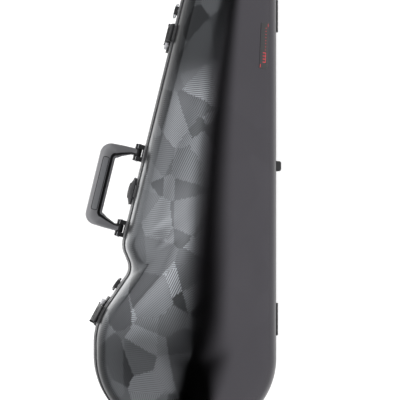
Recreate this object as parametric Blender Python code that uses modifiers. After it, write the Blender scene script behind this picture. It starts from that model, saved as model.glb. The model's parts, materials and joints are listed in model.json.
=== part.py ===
"""Hard-shell contoured violin case: two moulded shells, rims, hinges, latches, handle and interior.

The case lies on its back. The origin is on the flat of the back, +Z points up through the lid,
+Y towards the neck end and -X towards the carrying handle. The hinge side at +X is straight.
"""
import math

import bmesh
import bpy
from mathutils import Matrix, Vector

MM = 0.001

# ---- driving dimensions, metres ------------------------------------------------------------
HALF_LENGTH = 390 * MM
HINGE_WALL_X = 132 * MM
NECK_LEFT_X = 41 * MM
BOUT_LEFT_X = -124.5 * MM
# corners of the plan outline, anticlockwise: x, y, fillet radius
OUTLINE_CORNERS = [
    (HINGE_WALL_X, -HALF_LENGTH, 104 * MM),
    (HINGE_WALL_X, HALF_LENGTH, 40 * MM),
    (NECK_LEFT_X, HALF_LENGTH, 45 * MM),
    (-85.5 * MM, -125 * MM, 30 * MM),
    (-72 * MM, -158 * MM, 25 * MM),
    (BOUT_LEFT_X, -234 * MM, 90 * MM),
    (BOUT_LEFT_X, -HALF_LENGTH, 111 * MM),
]
# the crown line, towards which both shells are drawn in: ends and middle guide of a curve
CROWN_TAIL = Vector((4 * MM, -270 * MM))
CROWN_GUIDE = Vector((1.5 * MM, 35 * MM))
CROWN_NECK = Vector((80 * MM, 340 * MM))

SHELL_WALL = 2.4 * MM
BASE_EDGE_Z = 74 * MM          # top edge of the bottom shell
SEAM_Z = 80.05 * MM            # plane on which the lid opens
LID_EDGE_Z = 84.6 * MM         # lower edge of the lid shell
LID_RISE_TAIL = 65.4 * MM      # lid edge to crown at the body end
LID_RISE_NECK = 58 * MM        # lid edge to crown at the neck end
LID_POWER = 3.0                # squareness of the lid's section
LID_ROUNDING = 0.18            # share of the rise that is a plain parabola
BASE_POWER = 2.8
BASE_FLAT = 0.68               # share of the half width that is flat on the back
GAP = 0.4 * MM                 # between pieces that rest on each other
FIT = 0.3 * MM                 # between a pin and its bore

BASE_RIM_OUT = 2.2 * MM
LID_RIM_OUT = 1.5 * MM
RIM_IN = -4.6 * MM
BASE_RIM_LOW = 68 * MM
BASE_RIM_TOP = 79.8 * MM
LID_RIM_LOW = 80.3 * MM
LID_RIM_TOP = 90 * MM
SEAL_DEPTH = 2.2 * MM          # groove in the lower rim
SEAL_LIP = 0.6 * MM

HANDLE_Y = -48.2 * MM          # middle of the handle, measured along +Y
HANDLE_PITCH = 111 * MM        # between its two brackets
PIVOT_OUT = 9 * MM             # handle axis off the wall
PIVOT_Z = 60 * MM
LATCH_Y = {"neck": 172 * MM, "bout": -219.5 * MM}
TOWARDS_HANDLE = {"neck": -1, "bout": 1}
RING_Y = {"neck": 211 * MM, "bout": -182.6 * MM}
HINGE_Y = {"neck": 204 * MM, "bout": -231 * MM}
HINGE_OUT = 4.2 * MM           # lid axis off the straight wall
FOOT_Y = -11 * MM

VIOLIN_END = Vector((-3 * MM, -350 * MM))     # tail end of the violin's bed
VIOLIN_TILT = math.radians(7.0)
FOAM_TOP = 71 * MM
BED_FLOOR = 16 * MM

COLOURS = {
    "shell": ((0.018, 0.018, 0.020), 0.34, 0.0),
    "rim_black": ((0.012, 0.012, 0.013), 0.40, 0.0),
    "rim_grey": ((0.13, 0.13, 0.14), 0.38, 0.6),
    "black_plastic": ((0.015, 0.015, 0.016), 0.45, 0.0),
    "grey_plastic": ((0.10, 0.10, 0.105), 0.42, 0.0),
    "grip": ((0.085, 0.085, 0.09), 0.75, 0.0),
    "steel": ((0.55, 0.56, 0.58), 0.28, 1.0),
    "rubber": ((0.02, 0.02, 0.02), 0.85, 0.0),
    "velvet": ((0.055, 0.058, 0.066), 0.95, 0.0),
    "badge": ((0.03, 0.03, 0.03), 0.5, 0.0),
}


# ---- scene helpers -------------------------------------------------------------------------
for old in list(bpy.data.objects):
    bpy.data.objects.remove(old, do_unlink=True)

PARTS = bpy.data.collections.new("violin_case")
CUTTERS = bpy.data.collections.new("cutters")
for group in (PARTS, CUTTERS):
    bpy.context.scene.collection.children.link(group)


def finish_material(name):
    """The Principled material of that name, made on first use."""
    if name in bpy.data.materials:
        return bpy.data.materials[name]
    colour, roughness, metallic = COLOURS[name]
    made = bpy.data.materials.new(name)
    made.use_nodes = True
    shader = made.node_tree.nodes["Principled BSDF"]
    shader.inputs["Base Color"].default_value = (*colour, 1.0)
    shader.inputs["Roughness"].default_value = roughness
    shader.inputs["Metallic"].default_value = metallic
    made.diffuse_color = (*colour, 1.0)
    return made


def add_object(name, bm, material=None, home=None, closed=True):
    """Turn a bmesh into an object of the case, or into a cutter when it has no material."""
    if closed:
        bmesh.ops.recalc_face_normals(bm, faces=bm.faces)
    mesh = bpy.data.meshes.new(name)
    bm.to_mesh(mesh)
    bm.free()
    made = bpy.data.objects.new(name, mesh)
    if material is None:
        CUTTERS.objects.link(made)
        made.hide_render = True
        made.display_type = "WIRE"
    else:
        PARTS.objects.link(made)
        mesh.materials.append(finish_material(material))
    if home is not None:
        made.matrix_world = home
    return made


def boolean(target, tool, operation="DIFFERENCE"):
    step = target.modifiers.new(operation.lower(), "BOOLEAN")
    step.operation = operation
    step.solver = "EXACT"
    step.object = tool


def bevel(target, width, segments=1, angle=35):
    step = target.modifiers.new("bevel", "BEVEL")
    step.width = width
    step.segments = segments
    step.limit_method = "ANGLE"
    step.angle_limit = math.radians(angle)


def solidify(target, thickness, offset=-1.0):
    step = target.modifiers.new("wall", "SOLIDIFY")
    step.thickness = thickness
    step.offset = offset
    step.use_even_offset = True


def box_mesh(low, high):
    bm = bmesh.new()
    bmesh.ops.create_cube(bm, size=1.0)
    low, high = Vector(low), Vector(high)
    size, middle = high - low, (high + low) / 2
    for vertex in bm.verts:
        vertex.co = Vector(a * b for a, b in zip(vertex.co, size)) + middle
    return bm


def rod_mesh(radius, start, end, sides=16, end_radius=None):
    """A cylinder or cone between two points."""
    start, end = Vector(start), Vector(end)
    length = (end - start).length
    turn = (end - start).to_track_quat("Z", "Y").to_matrix().to_4x4()
    place = Matrix.Translation((start + end) / 2) @ turn
    bm = bmesh.new()
    top = radius if end_radius is None else end_radius
    bmesh.ops.create_cone(bm, cap_ends=True, segments=sides, radius1=radius, radius2=top,
                          depth=length, matrix=place)
    return bm


def prism_mesh(points, axis, low, high):
    """A flat polygon drawn out along local X, Y or Z; points are the other two axes in order."""
    bm = bmesh.new()

    def corner(point, level):
        a, b = point
        return {"X": (level, a, b), "Y": (a, level, b), "Z": (a, b, level)}[axis]

    face = bm.faces.new([bm.verts.new(corner(p, low)) for p in points])
    grown = bmesh.ops.extrude_face_region(bm, geom=[face])
    step = Vector(corner((0, 0), high)) - Vector(corner((0, 0), low))
    moved = [v for v in grown["geom"] if isinstance(v, bmesh.types.BMVert)]
    bmesh.ops.translate(bm, verts=moved, vec=step)
    return bm


def loft_mesh(rings, cap_first=True, cap_last=True, close=False):
    """Skin a list of rings that all hold the same number of points."""
    bm = bmesh.new()
    rows = [[bm.verts.new(p) for p in ring] for ring in rings]
    pairs = list(zip(rows, rows[1:]))
    if close:
        pairs.append((rows[-1], rows[0]))
    count = len(rows[0])
    for lower, upper in pairs:
        for i in range(count):
            j = (i + 1) % count
            bm.faces.new((lower[i], lower[j], upper[j], upper[i]))
    if cap_first and not close:
        bm.faces.new(list(reversed(rows[0])))
    if cap_last and not close:
        bm.faces.new(rows[-1])
    return bm


def arc(centre, radius, start, end, steps):
    """Points on a circle, angles in degrees."""
    angles = [math.radians(start + (end - start) * k / steps) for k in range(steps + 1)]
    return [(centre[0] + radius * math.cos(a), centre[1] + radius * math.sin(a)) for a in angles]


# ---- plan outline --------------------------------------------------------------------------
def rounded_outline(corners, arc_step, run_step):
    """Points and outward normals round a filleted polygon given anticlockwise."""
    count = len(corners)
    spots = [Vector(c[:2]) for c in corners]
    stations = []
    for i, (x, y, radius) in enumerate(corners):
        here = spots[i]
        d_in = (here - spots[i - 1]).normalized()
        d_out = (spots[(i + 1) % count] - here).normalized()
        turn = math.atan2(d_in.cross(d_out), d_in.dot(d_out))
        side = 1 if turn > 0 else -1
        tangent = radius * math.tan(abs(turn) / 2)
        normal = Vector((d_in.y, -d_in.x))
        centre = here - d_in * tangent - normal * radius * side
        steps = max(1, round(abs(turn) / math.radians(arc_step)))
        for k in range(steps + 1):
            swing = turn * k / steps
            n = Vector((normal.x * math.cos(swing) - normal.y * math.sin(swing),
                        normal.x * math.sin(swing) + normal.y * math.cos(swing)))
            stations.append((centre + n * radius * side, n))
    dense = []
    for i, (point, normal) in enumerate(stations):
        dense.append((point, normal))
        after, next_normal = stations[(i + 1) % len(stations)]
        length = (after - point).length
        if length > 1.4 * run_step and (normal - next_normal).length < 0.01:
            pieces = round(length / run_step)
            for k in range(1, pieces):
                dense.append((point.lerp(after, k / pieces), normal))
    return dense


OUTLINE = rounded_outline(OUTLINE_CORNERS, 8.0, 110 * MM)
COARSE = rounded_outline(OUTLINE_CORNERS, 13.0, 150 * MM)


def crown_under(point):
    """The crown point towards which an outline point is drawn in."""
    share = (point.y + HALF_LENGTH) / (2 * HALF_LENGTH)
    first = CROWN_TAIL.lerp(CROWN_GUIDE, share)
    second = CROWN_GUIDE.lerp(CROWN_NECK, share)
    return first.lerp(second, share), share


def lid_point(point, normal, level, inset=0.0):
    """A point of the lid's outer surface; level runs from 0 at the edge to 90 at the crown."""
    edge = point - normal * inset
    crown, share = crown_under(edge)
    draw = max(math.cos(math.radians(level)), 0.0) ** (2 / LID_POWER)
    square = math.sin(math.radians(level)) ** (2 / LID_POWER)
    rise = LID_RISE_TAIL + (LID_RISE_NECK - LID_RISE_TAIL) * share - inset
    height = rise * ((1 - LID_ROUNDING) * square + LID_ROUNDING * (1 - draw * draw))
    plan = crown.lerp(edge, draw)
    return Vector((plan.x, plan.y, LID_EDGE_Z + height))


def base_point(point, normal, level, inset=0.0, top=BASE_EDGE_Z):
    """A point of the bottom shell's outer surface; level 0 is the edge, 90 the flat back."""
    edge = point - normal * inset
    crown, share = crown_under(edge)
    wall = math.cos(math.radians(level)) ** (2 / BASE_POWER)
    depth = math.sin(math.radians(level)) ** (2 / BASE_POWER)
    plan = crown.lerp(edge, BASE_FLAT + (1 - BASE_FLAT) * wall)
    return Vector((plan.x, plan.y, top - (top - inset) * depth))


LID_LEVELS = (0, 8, 18, 30, 42, 54, 65, 75, 83, 87.5)
BASE_LEVELS = (90, 70, 52, 37, 23, 10, 0)


def ring_band(outline, profile):
    """A closed rim: the profile of (offset, height) points carried round the outline."""
    rings = [[Vector((*(p + n * out), z)) for out, z in profile] for p, n in outline]
    return loft_mesh(rings, close=True)


def side_station(y, hinge_side=False):
    """Point and outward normal where the outline crosses y, on the handle or hinge side."""
    for (a, na), (b, nb) in zip(OUTLINE, OUTLINE[1:] + OUTLINE[:1]):
        if (a.y - y) * (b.y - y) <= 0 and a.y != b.y and (na.x > 0) == hinge_side:
            share = (a.y - y) / (a.y - b.y)
            return a.lerp(b, share), na.lerp(nb, share).normalized()
    return None


def wall_frame(y, z=0.0, hinge_side=False):
    """A frame on the wall: local X along the wall, Y outwards, Z up."""
    point, normal = side_station(y, hinge_side)
    n = Vector((normal.x, normal.y, 0))
    up = Vector((0, 0, 1))
    along = n.cross(up)
    turn = Matrix((along, n, up)).transposed().to_4x4()
    return Matrix.Translation((point.x, point.y, z)) @ turn


def wall_band(y_from, y_to, profile, steps=6):
    """A short strip that follows the handle-side wall, with the profile (offset, height)."""
    rings = []
    for k in range(steps + 1):
        p, n = side_station(y_from + (y_to - y_from) * k / steps)
        rings.append([Vector((*(p + n * out), z)) for out, z in profile])
    return loft_mesh(rings)


def rectangle(low, high):
    return [(low[0], low[1]), (high[0], low[1]), (high[0], high[1]), (low[0], high[1])]


# ---- shells, rims and seal -----------------------------------------------------------------
def make_shells():
    lid_rings = [[lid_point(p, n, level) for p, n in OUTLINE] for level in LID_LEVELS]
    lid = add_object("lid_shell", loft_mesh(lid_rings, cap_first=False), "shell", closed=False)
    solidify(lid, SHELL_WALL)
    base_rings = [[base_point(p, n, level) for p, n in OUTLINE] for level in BASE_LEVELS]
    base = add_object("bottom_shell", loft_mesh(base_rings, cap_last=False), "shell", closed=False)
    solidify(base, SHELL_WALL)


def make_rims():
    ledge = BASE_RIM_TOP - SEAL_DEPTH
    base_profile = [
        (BASE_RIM_OUT, BASE_RIM_LOW), (BASE_RIM_OUT, BASE_RIM_TOP), (-SEAL_LIP, BASE_RIM_TOP),
        (-SEAL_LIP, ledge), (RIM_IN, ledge), (RIM_IN, BASE_EDGE_Z + FIT),
        (FIT, BASE_EDGE_Z + FIT), (FIT, BASE_RIM_LOW),
    ]
    add_object("bottom_rim", ring_band(OUTLINE, base_profile), "rim_grey")
    lid_profile = [
        (LID_RIM_OUT, LID_RIM_LOW), (LID_RIM_OUT, LID_RIM_TOP), (FIT, LID_RIM_TOP),
        (FIT, LID_EDGE_Z - FIT), (RIM_IN, LID_EDGE_Z - FIT), (RIM_IN, LID_RIM_LOW),
    ]
    add_object("lid_rim", ring_band(OUTLINE, lid_profile), "rim_black")
    seal = rectangle((RIM_IN + FIT, ledge + FIT), (-SEAL_LIP - FIT, LID_RIM_LOW - FIT))
    add_object("rim_gasket", ring_band(OUTLINE, seal), "rubber")


# ---- hinges --------------------------------------------------------------------------------
HINGE_HALF = 23 * MM
KNUCKLE_HALF = 7 * MM
KNUCKLE_R = 1.7 * MM
HINGE_PIN_R = 0.7 * MM
LEAF_THICK = 1.4 * MM
LEAF_EDGE = 1.0 * MM            # plates stop this far inside the knuckles and the rims


def make_hinge(place):
    home = wall_frame(HINGE_Y[place], hinge_side=True)
    axis = (HINGE_OUT, SEAM_Z)
    inner = KNUCKLE_HALF + GAP
    low_leaf = rod_mesh(KNUCKLE_R, (-HINGE_HALF, *axis), (HINGE_HALF, *axis))
    base = add_object(f"hinge_base_leaf_{place}", low_leaf, "black_plastic", home)
    plate = box_mesh((-HINGE_HALF + LEAF_EDGE, BASE_RIM_OUT + FIT, BASE_RIM_LOW + LEAF_EDGE),
                     (HINGE_HALF - LEAF_EDGE, BASE_RIM_OUT + FIT + LEAF_THICK, SEAM_Z - LEAF_EDGE))
    boolean(base, add_object(f"hinge_base_plate_{place}", plate, home=home), "UNION")
    room = box_mesh((-inner, 0, SEAM_Z - KNUCKLE_R - GAP),
                    (inner, 3 * HINGE_OUT, SEAM_Z + 2 * KNUCKLE_R))
    boolean(base, add_object(f"hinge_base_room_{place}", room, home=home))

    middle = rod_mesh(KNUCKLE_R, (-KNUCKLE_HALF, *axis), (KNUCKLE_HALF, *axis))
    lid = add_object(f"hinge_lid_leaf_{place}", middle, "black_plastic", home)
    neck, low, shoulder, top = (KNUCKLE_HALF - LEAF_EDGE, SEAM_Z + LEAF_EDGE,
                                SEAM_Z + KNUCKLE_R + 2 * GAP, LID_RIM_TOP - LEAF_EDGE)
    tab = prism_mesh(
        [(-neck, low), (neck, low), (neck, shoulder), (HINGE_HALF, shoulder), (HINGE_HALF, top),
         (-HINGE_HALF, top), (-HINGE_HALF, shoulder), (-neck, shoulder)],
        "Y", LID_RIM_OUT + FIT, LID_RIM_OUT + FIT + LEAF_THICK)
    boolean(lid, add_object(f"hinge_lid_plate_{place}", tab, home=home), "UNION")

    beyond = HINGE_HALF + 5 * MM
    bore = rod_mesh(HINGE_PIN_R + FIT, (-beyond, *axis), (beyond, *axis), 12)
    bore = add_object(f"hinge_bore_{place}", bore, home=home)
    boolean(base, bore)
    boolean(lid, bore)

    end = HINGE_HALF + GAP
    pin = rod_mesh(HINGE_PIN_R, (-end, *axis), (end, *axis), 12)
    add_object(f"hinge_pin_{place}", pin, "steel", home)


# ---- handle --------------------------------------------------------------------------------
LUG_GAP = 11.4 * MM
LUG_THICK = 6.3 * MM
LUG_OUT = 14 * MM
LUG_HALF_Z = 6.5 * MM
BRACKET_WEB = 2.6 * MM         # wall plate that joins the two lugs
HANDLE_PIN_R = 1.5 * MM
PIN_HALF = 11.6 * MM
BOSS_HALF = 5.3 * MM
ARM_HALF = 5.2 * MM            # half width of an arm at its pivot
GRIP_OUT = 53 * MM             # outer face of the grip, from the pivots' axis
GRIP_IN = 30 * MM              # inner face of the grip
GRIP_HALF_T = 8.5 * MM
GRIP_CORNER = (41 * MM, GRIP_IN)     # inner corner, where an arm meets the grip
OUTER_TURN_R = 16 * MM
INNER_TURN_R = 3 * MM
PAD_HALF = 38 * MM
PAD_MARGIN = 7 * MM


def make_brackets():
    half = LUG_GAP / 2 + LUG_THICK
    frame = wall_frame(HANDLE_Y)
    for place, side in (("neck", 1), ("bout", -1)):
        home = frame @ Matrix.Translation((side * HANDLE_PITCH / 2, 0, 0))
        plan = [(-half, FIT), (half, FIT), (half, LUG_OUT), (LUG_GAP / 2, LUG_OUT),
                (LUG_GAP / 2, BRACKET_WEB), (-LUG_GAP / 2, BRACKET_WEB), (-LUG_GAP / 2, LUG_OUT),
                (-half, LUG_OUT)]
        body = prism_mesh(plan, "Z", PIVOT_Z - LUG_HALF_Z, PIVOT_Z + LUG_HALF_Z)
        bracket = add_object(f"handle_bracket_{place}", body, "black_plastic", home)
        beyond = half + 5 * MM
        bore = rod_mesh(HANDLE_PIN_R + FIT, (-beyond, PIVOT_OUT, PIVOT_Z),
                        (beyond, PIVOT_OUT, PIVOT_Z), 12)
        boolean(bracket, add_object(f"bracket_bore_{place}", bore, home=home))


def handle_rails():
    """Outer edge, inner edge and thickness of one half, from its pivot to the middle of the grip."""
    outer_half, inner_half = HANDLE_PITCH / 2 + ARM_HALF, HANDLE_PITCH / 2 - ARM_HALF
    foot = Vector((inner_half, 9 * MM))
    corner = Vector(GRIP_CORNER)
    rail = [((outer_half, 0), (inner_half, 0), 0.62), ((outer_half, foot.y), foot, 0.66)]
    for share, out, thick in ((0.25, 13 * MM, 0.74), (0.6, 25 * MM, 0.86)):
        rail.append(((outer_half - 0.4 * MM * share, out), foot.lerp(corner, share), thick))
    turn = (outer_half - MM - OUTER_TURN_R, GRIP_OUT - OUTER_TURN_R)
    inner_turn = (corner.x - INNER_TURN_R, corner.y - INNER_TURN_R)
    outside = arc(turn, OUTER_TURN_R, 0, 90, 5)
    inside = arc(inner_turn, INNER_TURN_R, 0, 90, 5)
    rail += [(o, i, 1.0) for o, i in zip(outside, inside)]
    rail.append(((turn[0] / 2, GRIP_OUT), (corner.x / 2, GRIP_IN), 1.0))
    return rail


def make_handle():
    """Two rails, outer and inner, with an eight-sided section between them."""
    home = wall_frame(HANDLE_Y) @ Matrix.Translation((0, PIVOT_OUT, PIVOT_Z))
    half = handle_rails()
    mirrored = [((-o[0], o[1]), (-i[0], i[1]), t) for o, i, t in reversed(half)]
    section = [(0, 0.45), (0.22, 1), (0.78, 1), (1, 0.45), (1, -0.45), (0.78, -1), (0.22, -1), (0, -0.45)]
    rings = []
    for out, inside, thick in half + mirrored:
        a, b = Vector((*out, 0)), Vector((*inside, 0))
        rings.append([a.lerp(b, s) + Vector((0, 0, GRIP_HALF_T * thick * z)) for s, z in section])
    frame = add_object("handle_frame", loft_mesh(rings), "grey_plastic", home)
    for side in (1, -1):
        x = side * HANDLE_PITCH / 2
        boss = rod_mesh(GRIP_HALF_T * 0.65, (x - BOSS_HALF, 0, 0), (x + BOSS_HALF, 0, 0), 16)
        boolean(frame, add_object(f"handle_boss_{side + 1}", boss, home=home), "UNION")
    for side in (1, -1):
        x = side * HANDLE_PITCH / 2
        bore = rod_mesh(HANDLE_PIN_R + FIT, (x - LUG_GAP, 0, 0), (x + LUG_GAP, 0, 0), 12)
        boolean(frame, add_object(f"handle_bore_{side + 1}", bore, home=home))

    for name, face in (("upper", 1), ("lower", -1)):
        low, high = sorted((face * (GRIP_HALF_T + FIT), face * (GRIP_HALF_T + 1.2 * MM)))
        pad = box_mesh((-PAD_HALF, GRIP_IN + PAD_MARGIN, low), (PAD_HALF, GRIP_OUT - PAD_MARGIN, high))
        add_object(f"grip_pad_{name}", pad, "grip", home)
    for name, side in (("neck", 1), ("bout", -1)):
        x = side * HANDLE_PITCH / 2
        pin = rod_mesh(HANDLE_PIN_R, (x - PIN_HALF, 0, 0), (x + PIN_HALF, 0, 0), 12)
        add_object(f"handle_pin_{name}", pin, "steel", home)


# ---- latches -------------------------------------------------------------------------------
FITTING_LOW = 43 * MM           # lower edge of the plates screwed to the wall
HASP_HALF = 12.5 * MM
HASP_SHIFT = 5 * MM             # hasp's middle from the plate's middle, away from the handle
HASP_AXIS = (6.4 * MM, 47 * MM)
HASP_FOOT_R = 2.4 * MM
HASP_TOP = 89 * MM
HASP_IN = 4.0 * MM
HASP_OUT = 8.4 * MM
LATCH_PLATE = 3.4 * MM
LATCH_SPAN = 20 * MM            # half length of the plate
LATCH_LUG = 2.8 * MM
LATCH_PIN_R = 1.0 * MM
KEEPER_OUT = 3.6 * MM
KEEPER_Z = (81.5 * MM, 88 * MM)
SLIDE_Z = (52 * MM, 66 * MM)
SLIDE_FACE = 7.4 * MM
SLIDE_LENGTH = 9 * MM
RIB_PITCH = 2.4 * MM


def slide_section():
    """The release slide's side view, with four finger ribs on its outer face."""
    low, high = SLIDE_Z
    back = LATCH_PLATE + GAP
    points = [(back, low), (SLIDE_FACE, low), (SLIDE_FACE, low + RIB_PITCH)]
    for k in range(4):
        z = low + RIB_PITCH * (k + 1)
        points += [(SLIDE_FACE + 0.9 * MM, z + 0.6 * MM), (SLIDE_FACE + 0.9 * MM, z + 1.5 * MM),
                   (SLIDE_FACE, z + 2.2 * MM)]
    return points + [(SLIDE_FACE, high), (back, high)]


def make_latch(place):
    toward = TOWARDS_HANDLE[place]
    y = LATCH_Y[place]
    home = wall_frame(y)
    hasp_mid = -HASP_SHIFT * toward
    strip = rectangle((FIT, FITTING_LOW), (LATCH_PLATE, BASE_RIM_LOW - FIT))
    plate = wall_band(y - LATCH_SPAN, y + LATCH_SPAN, strip)
    base = add_object(f"latch_base_{place}", plate, "black_plastic")
    for k, side in enumerate((1, -1)):
        near, far = sorted((side * (HASP_HALF + GAP), side * (HASP_HALF + GAP + LATCH_LUG)))
        lug = box_mesh((hasp_mid + near, 1.5 * MM, FITTING_LOW + MM),
                       (hasp_mid + far, HASP_AXIS[0] + HASP_FOOT_R, HASP_AXIS[1] + HASP_FOOT_R + MM))
        boolean(base, add_object(f"latch_lug_{place}_{k}", lug, home=home), "UNION")

    foot = arc(HASP_AXIS, HASP_FOOT_R, 180, 360, 8)
    hasp_side = foot + [(HASP_OUT, 82 * MM), (HASP_OUT - 1.6 * MM, HASP_TOP), (HASP_IN, HASP_TOP)]
    body = prism_mesh(hasp_side, "X", hasp_mid - HASP_HALF, hasp_mid + HASP_HALF)
    hasp = add_object(f"hasp_{place}", body, "grey_plastic", home)
    beyond = HASP_HALF + 8 * MM
    bore = rod_mesh(LATCH_PIN_R + FIT, (hasp_mid - beyond, *HASP_AXIS), (hasp_mid + beyond, *HASP_AXIS), 12)
    bore = add_object(f"latch_bore_{place}", bore, home=home)
    boolean(base, bore)
    boolean(hasp, bore)

    near, far = sorted((hasp_mid + toward * (HASP_HALF + 0.8 * MM),
                        hasp_mid + toward * (HASP_HALF + 0.8 * MM + SLIDE_LENGTH)))
    add_object(f"release_slide_{place}", prism_mesh(slide_section(), "X", near, far), "steel", home)

    strip = rectangle((LID_RIM_OUT + FIT, KEEPER_Z[0]), (KEEPER_OUT, KEEPER_Z[1]))
    middle = y + home.to_3x3().col[0].y * hasp_mid
    keeper = wall_band(middle - 10 * MM, middle + 10 * MM, strip, 4)
    add_object(f"latch_keeper_{place}", keeper, "steel")

    end = HASP_HALF + GAP + LATCH_LUG + FIT
    pin = rod_mesh(LATCH_PIN_R, (hasp_mid - end, *HASP_AXIS), (hasp_mid + end, *HASP_AXIS), 12)
    add_object(f"latch_pin_{place}", pin, "steel", home)


# ---- centre lock ---------------------------------------------------------------------------
LOCK_Z = 64 * MM
LOCK_R = 20 * MM
KNOB_R = 16.6 * MM
KNOB_FOOT = 6.1 * MM            # flat underside of the knob, off the wall
KNOB_RISE = 4.1 * MM            # height of its dome
BLOCK_HALF = 12 * MM


def disc_profile(name, points, home, material, sides=28):
    """A turned piece about the wall's outward axis; points are (radius, distance out)."""
    bm = bmesh.new()
    rows = [bm.verts.new((r, 0, out)) for r, out in points]
    for a, b in zip(rows, rows[1:]):
        bm.edges.new((a, b))
    mesh = bpy.data.meshes.new(name)
    bm.to_mesh(mesh)
    bm.free()
    made = bpy.data.objects.new(name, mesh)
    PARTS.objects.link(made)
    mesh.materials.append(finish_material(material))
    turn = Matrix(((1, 0, 0), (0, 0, 1), (0, -1, 0))).to_4x4()
    made.matrix_world = home @ turn
    spin = made.modifiers.new("turned", "SCREW")
    spin.steps = sides
    spin.render_steps = sides
    spin.use_merge_vertices = True
    spin.merge_threshold = 0.00005
    return made


def knob_dome():
    """The knob's half section: a shallow spherical cap on a flat underside."""
    radius = (KNOB_R ** 2 + KNOB_RISE ** 2) / (2 * KNOB_RISE)
    spread = math.asin(KNOB_R / radius)
    centre = KNOB_FOOT + KNOB_RISE - radius
    points = []
    for k in range(6):
        a = spread * k / 5
        points.append((radius * math.sin(a), centre + radius * math.cos(a)))
    return points + [(0, KNOB_FOOT)]


def make_lock():
    home = wall_frame(HANDLE_Y, LOCK_Z)
    plate = disc_profile("lock_plate", [
        (0, 5.8 * MM), (LOCK_R - 2.6 * MM, 5.8 * MM), (LOCK_R, 4.8 * MM), (LOCK_R, 4.3 * MM),
        (0, 4.3 * MM)], home, "grey_plastic")
    block = box_mesh((-BLOCK_HALF, FIT, 46 * MM - LOCK_Z), (BLOCK_HALF, 5 * MM, BASE_RIM_LOW - FIT - LOCK_Z))
    boolean(plate, add_object("lock_block", block, home=home), "UNION")
    knob = disc_profile("lock_knob", knob_dome(), home, "black_plastic")
    groove = box_mesh((-11 * MM, KNOB_FOOT + 2.6 * MM, -2.2 * MM), (11 * MM, KNOB_FOOT + 9 * MM, 2.2 * MM))
    boolean(knob, add_object("knob_groove", groove, home=home))
    strip = rectangle((LID_RIM_OUT + FIT, KEEPER_Z[0]), (KEEPER_OUT, KEEPER_Z[1]))
    keeper = wall_band(HANDLE_Y - 8 * MM, HANDLE_Y + 8 * MM, strip, 2)
    add_object("lock_keeper", keeper, "steel")


# ---- strap rings ---------------------------------------------------------------------------
RING_AXIS = (3.9 * MM, 60 * MM)
RING_WIRE_R = 1.3 * MM
RING_HALF = 9.3 * MM
ANCHOR_R = 2.9 * MM
ANCHOR_HALF = 6 * MM


def make_strap_ring(place):
    y = RING_Y[place]
    home = wall_frame(y)
    low, high = RING_AXIS[1] - 6 * MM, RING_AXIS[1] + 6 * MM
    outer = arc(RING_AXIS, ANCHOR_R, -90, 90, 6)
    side = [(FIT, low), (1.7 * MM, low)] + outer[1:] + [(FIT, high)]
    body = prism_mesh(side, "X", -ANCHOR_HALF, ANCHOR_HALF)
    anchor = add_object(f"strap_anchor_{place}", body, "black_plastic", home)
    bore = rod_mesh(RING_WIRE_R + FIT, (-RING_HALF, *RING_AXIS), (RING_HALF, *RING_AXIS), 12)
    boolean(anchor, add_object(f"anchor_bore_{place}", bore, home=home))

    wire = bpy.data.curves.new(f"strap_ring_{place}", "CURVE")
    wire.dimensions = "3D"
    wire.bevel_depth = RING_WIRE_R
    wire.bevel_resolution = 1
    loop = wire.splines.new("POLY")
    corner = 1.6 * MM
    bow = arc((0, -11 * MM), RING_HALF, 180, 360, 8)
    route = [(corner - RING_HALF, 0), (-RING_HALF, -corner)] + bow
    route += [(RING_HALF, -corner), (RING_HALF - corner, 0)]
    loop.points.add(len(route) - 1)
    for spot, (x, z) in zip(loop.points, route):
        spot.co = (x, RING_AXIS[0], RING_AXIS[1] + z, 1)
    loop.use_cyclic_u = True
    source = bpy.data.objects.new(f"ring_curve_{place}", wire)
    source.matrix_world = home
    CUTTERS.objects.link(source)
    view = bpy.context.view_layer
    view.update()
    mesh = bpy.data.meshes.new_from_object(source.evaluated_get(view.depsgraph))
    bm = bmesh.new()
    bm.from_mesh(mesh)
    bmesh.ops.remove_doubles(bm, verts=bm.verts, dist=0.00001)
    bpy.data.meshes.remove(mesh)
    bpy.data.objects.remove(source)
    add_object(f"strap_ring_{place}", bm, "steel", home)


# ---- foot and badge ------------------------------------------------------------------------
FOOT_HALF = 8 * MM
FOOT_OUT = 13.5 * MM
FOOT_Z = (48 * MM, 66 * MM)


def make_foot():
    home = wall_frame(FOOT_Y, hinge_side=True)
    shoulder, tip = (0.9 * FOOT_HALF, FOOT_OUT - 2.5 * MM), (0.68 * FOOT_HALF, FOOT_OUT)
    plan = [(-FOOT_HALF, FIT), (FOOT_HALF, FIT), shoulder, tip, (-tip[0], tip[1]),
            (-shoulder[0], shoulder[1])]
    foot = add_object("spine_foot", prism_mesh(plan, "Z", *FOOT_Z), "rubber", home)
    bevel(foot, 1.0 * MM)


BADGE_Y = (120.5 * MM, 190.5 * MM)
BADGE_LEVELS = (46, 50, 53.5, 57)    # across the strip, as levels of the lid's surface


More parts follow.
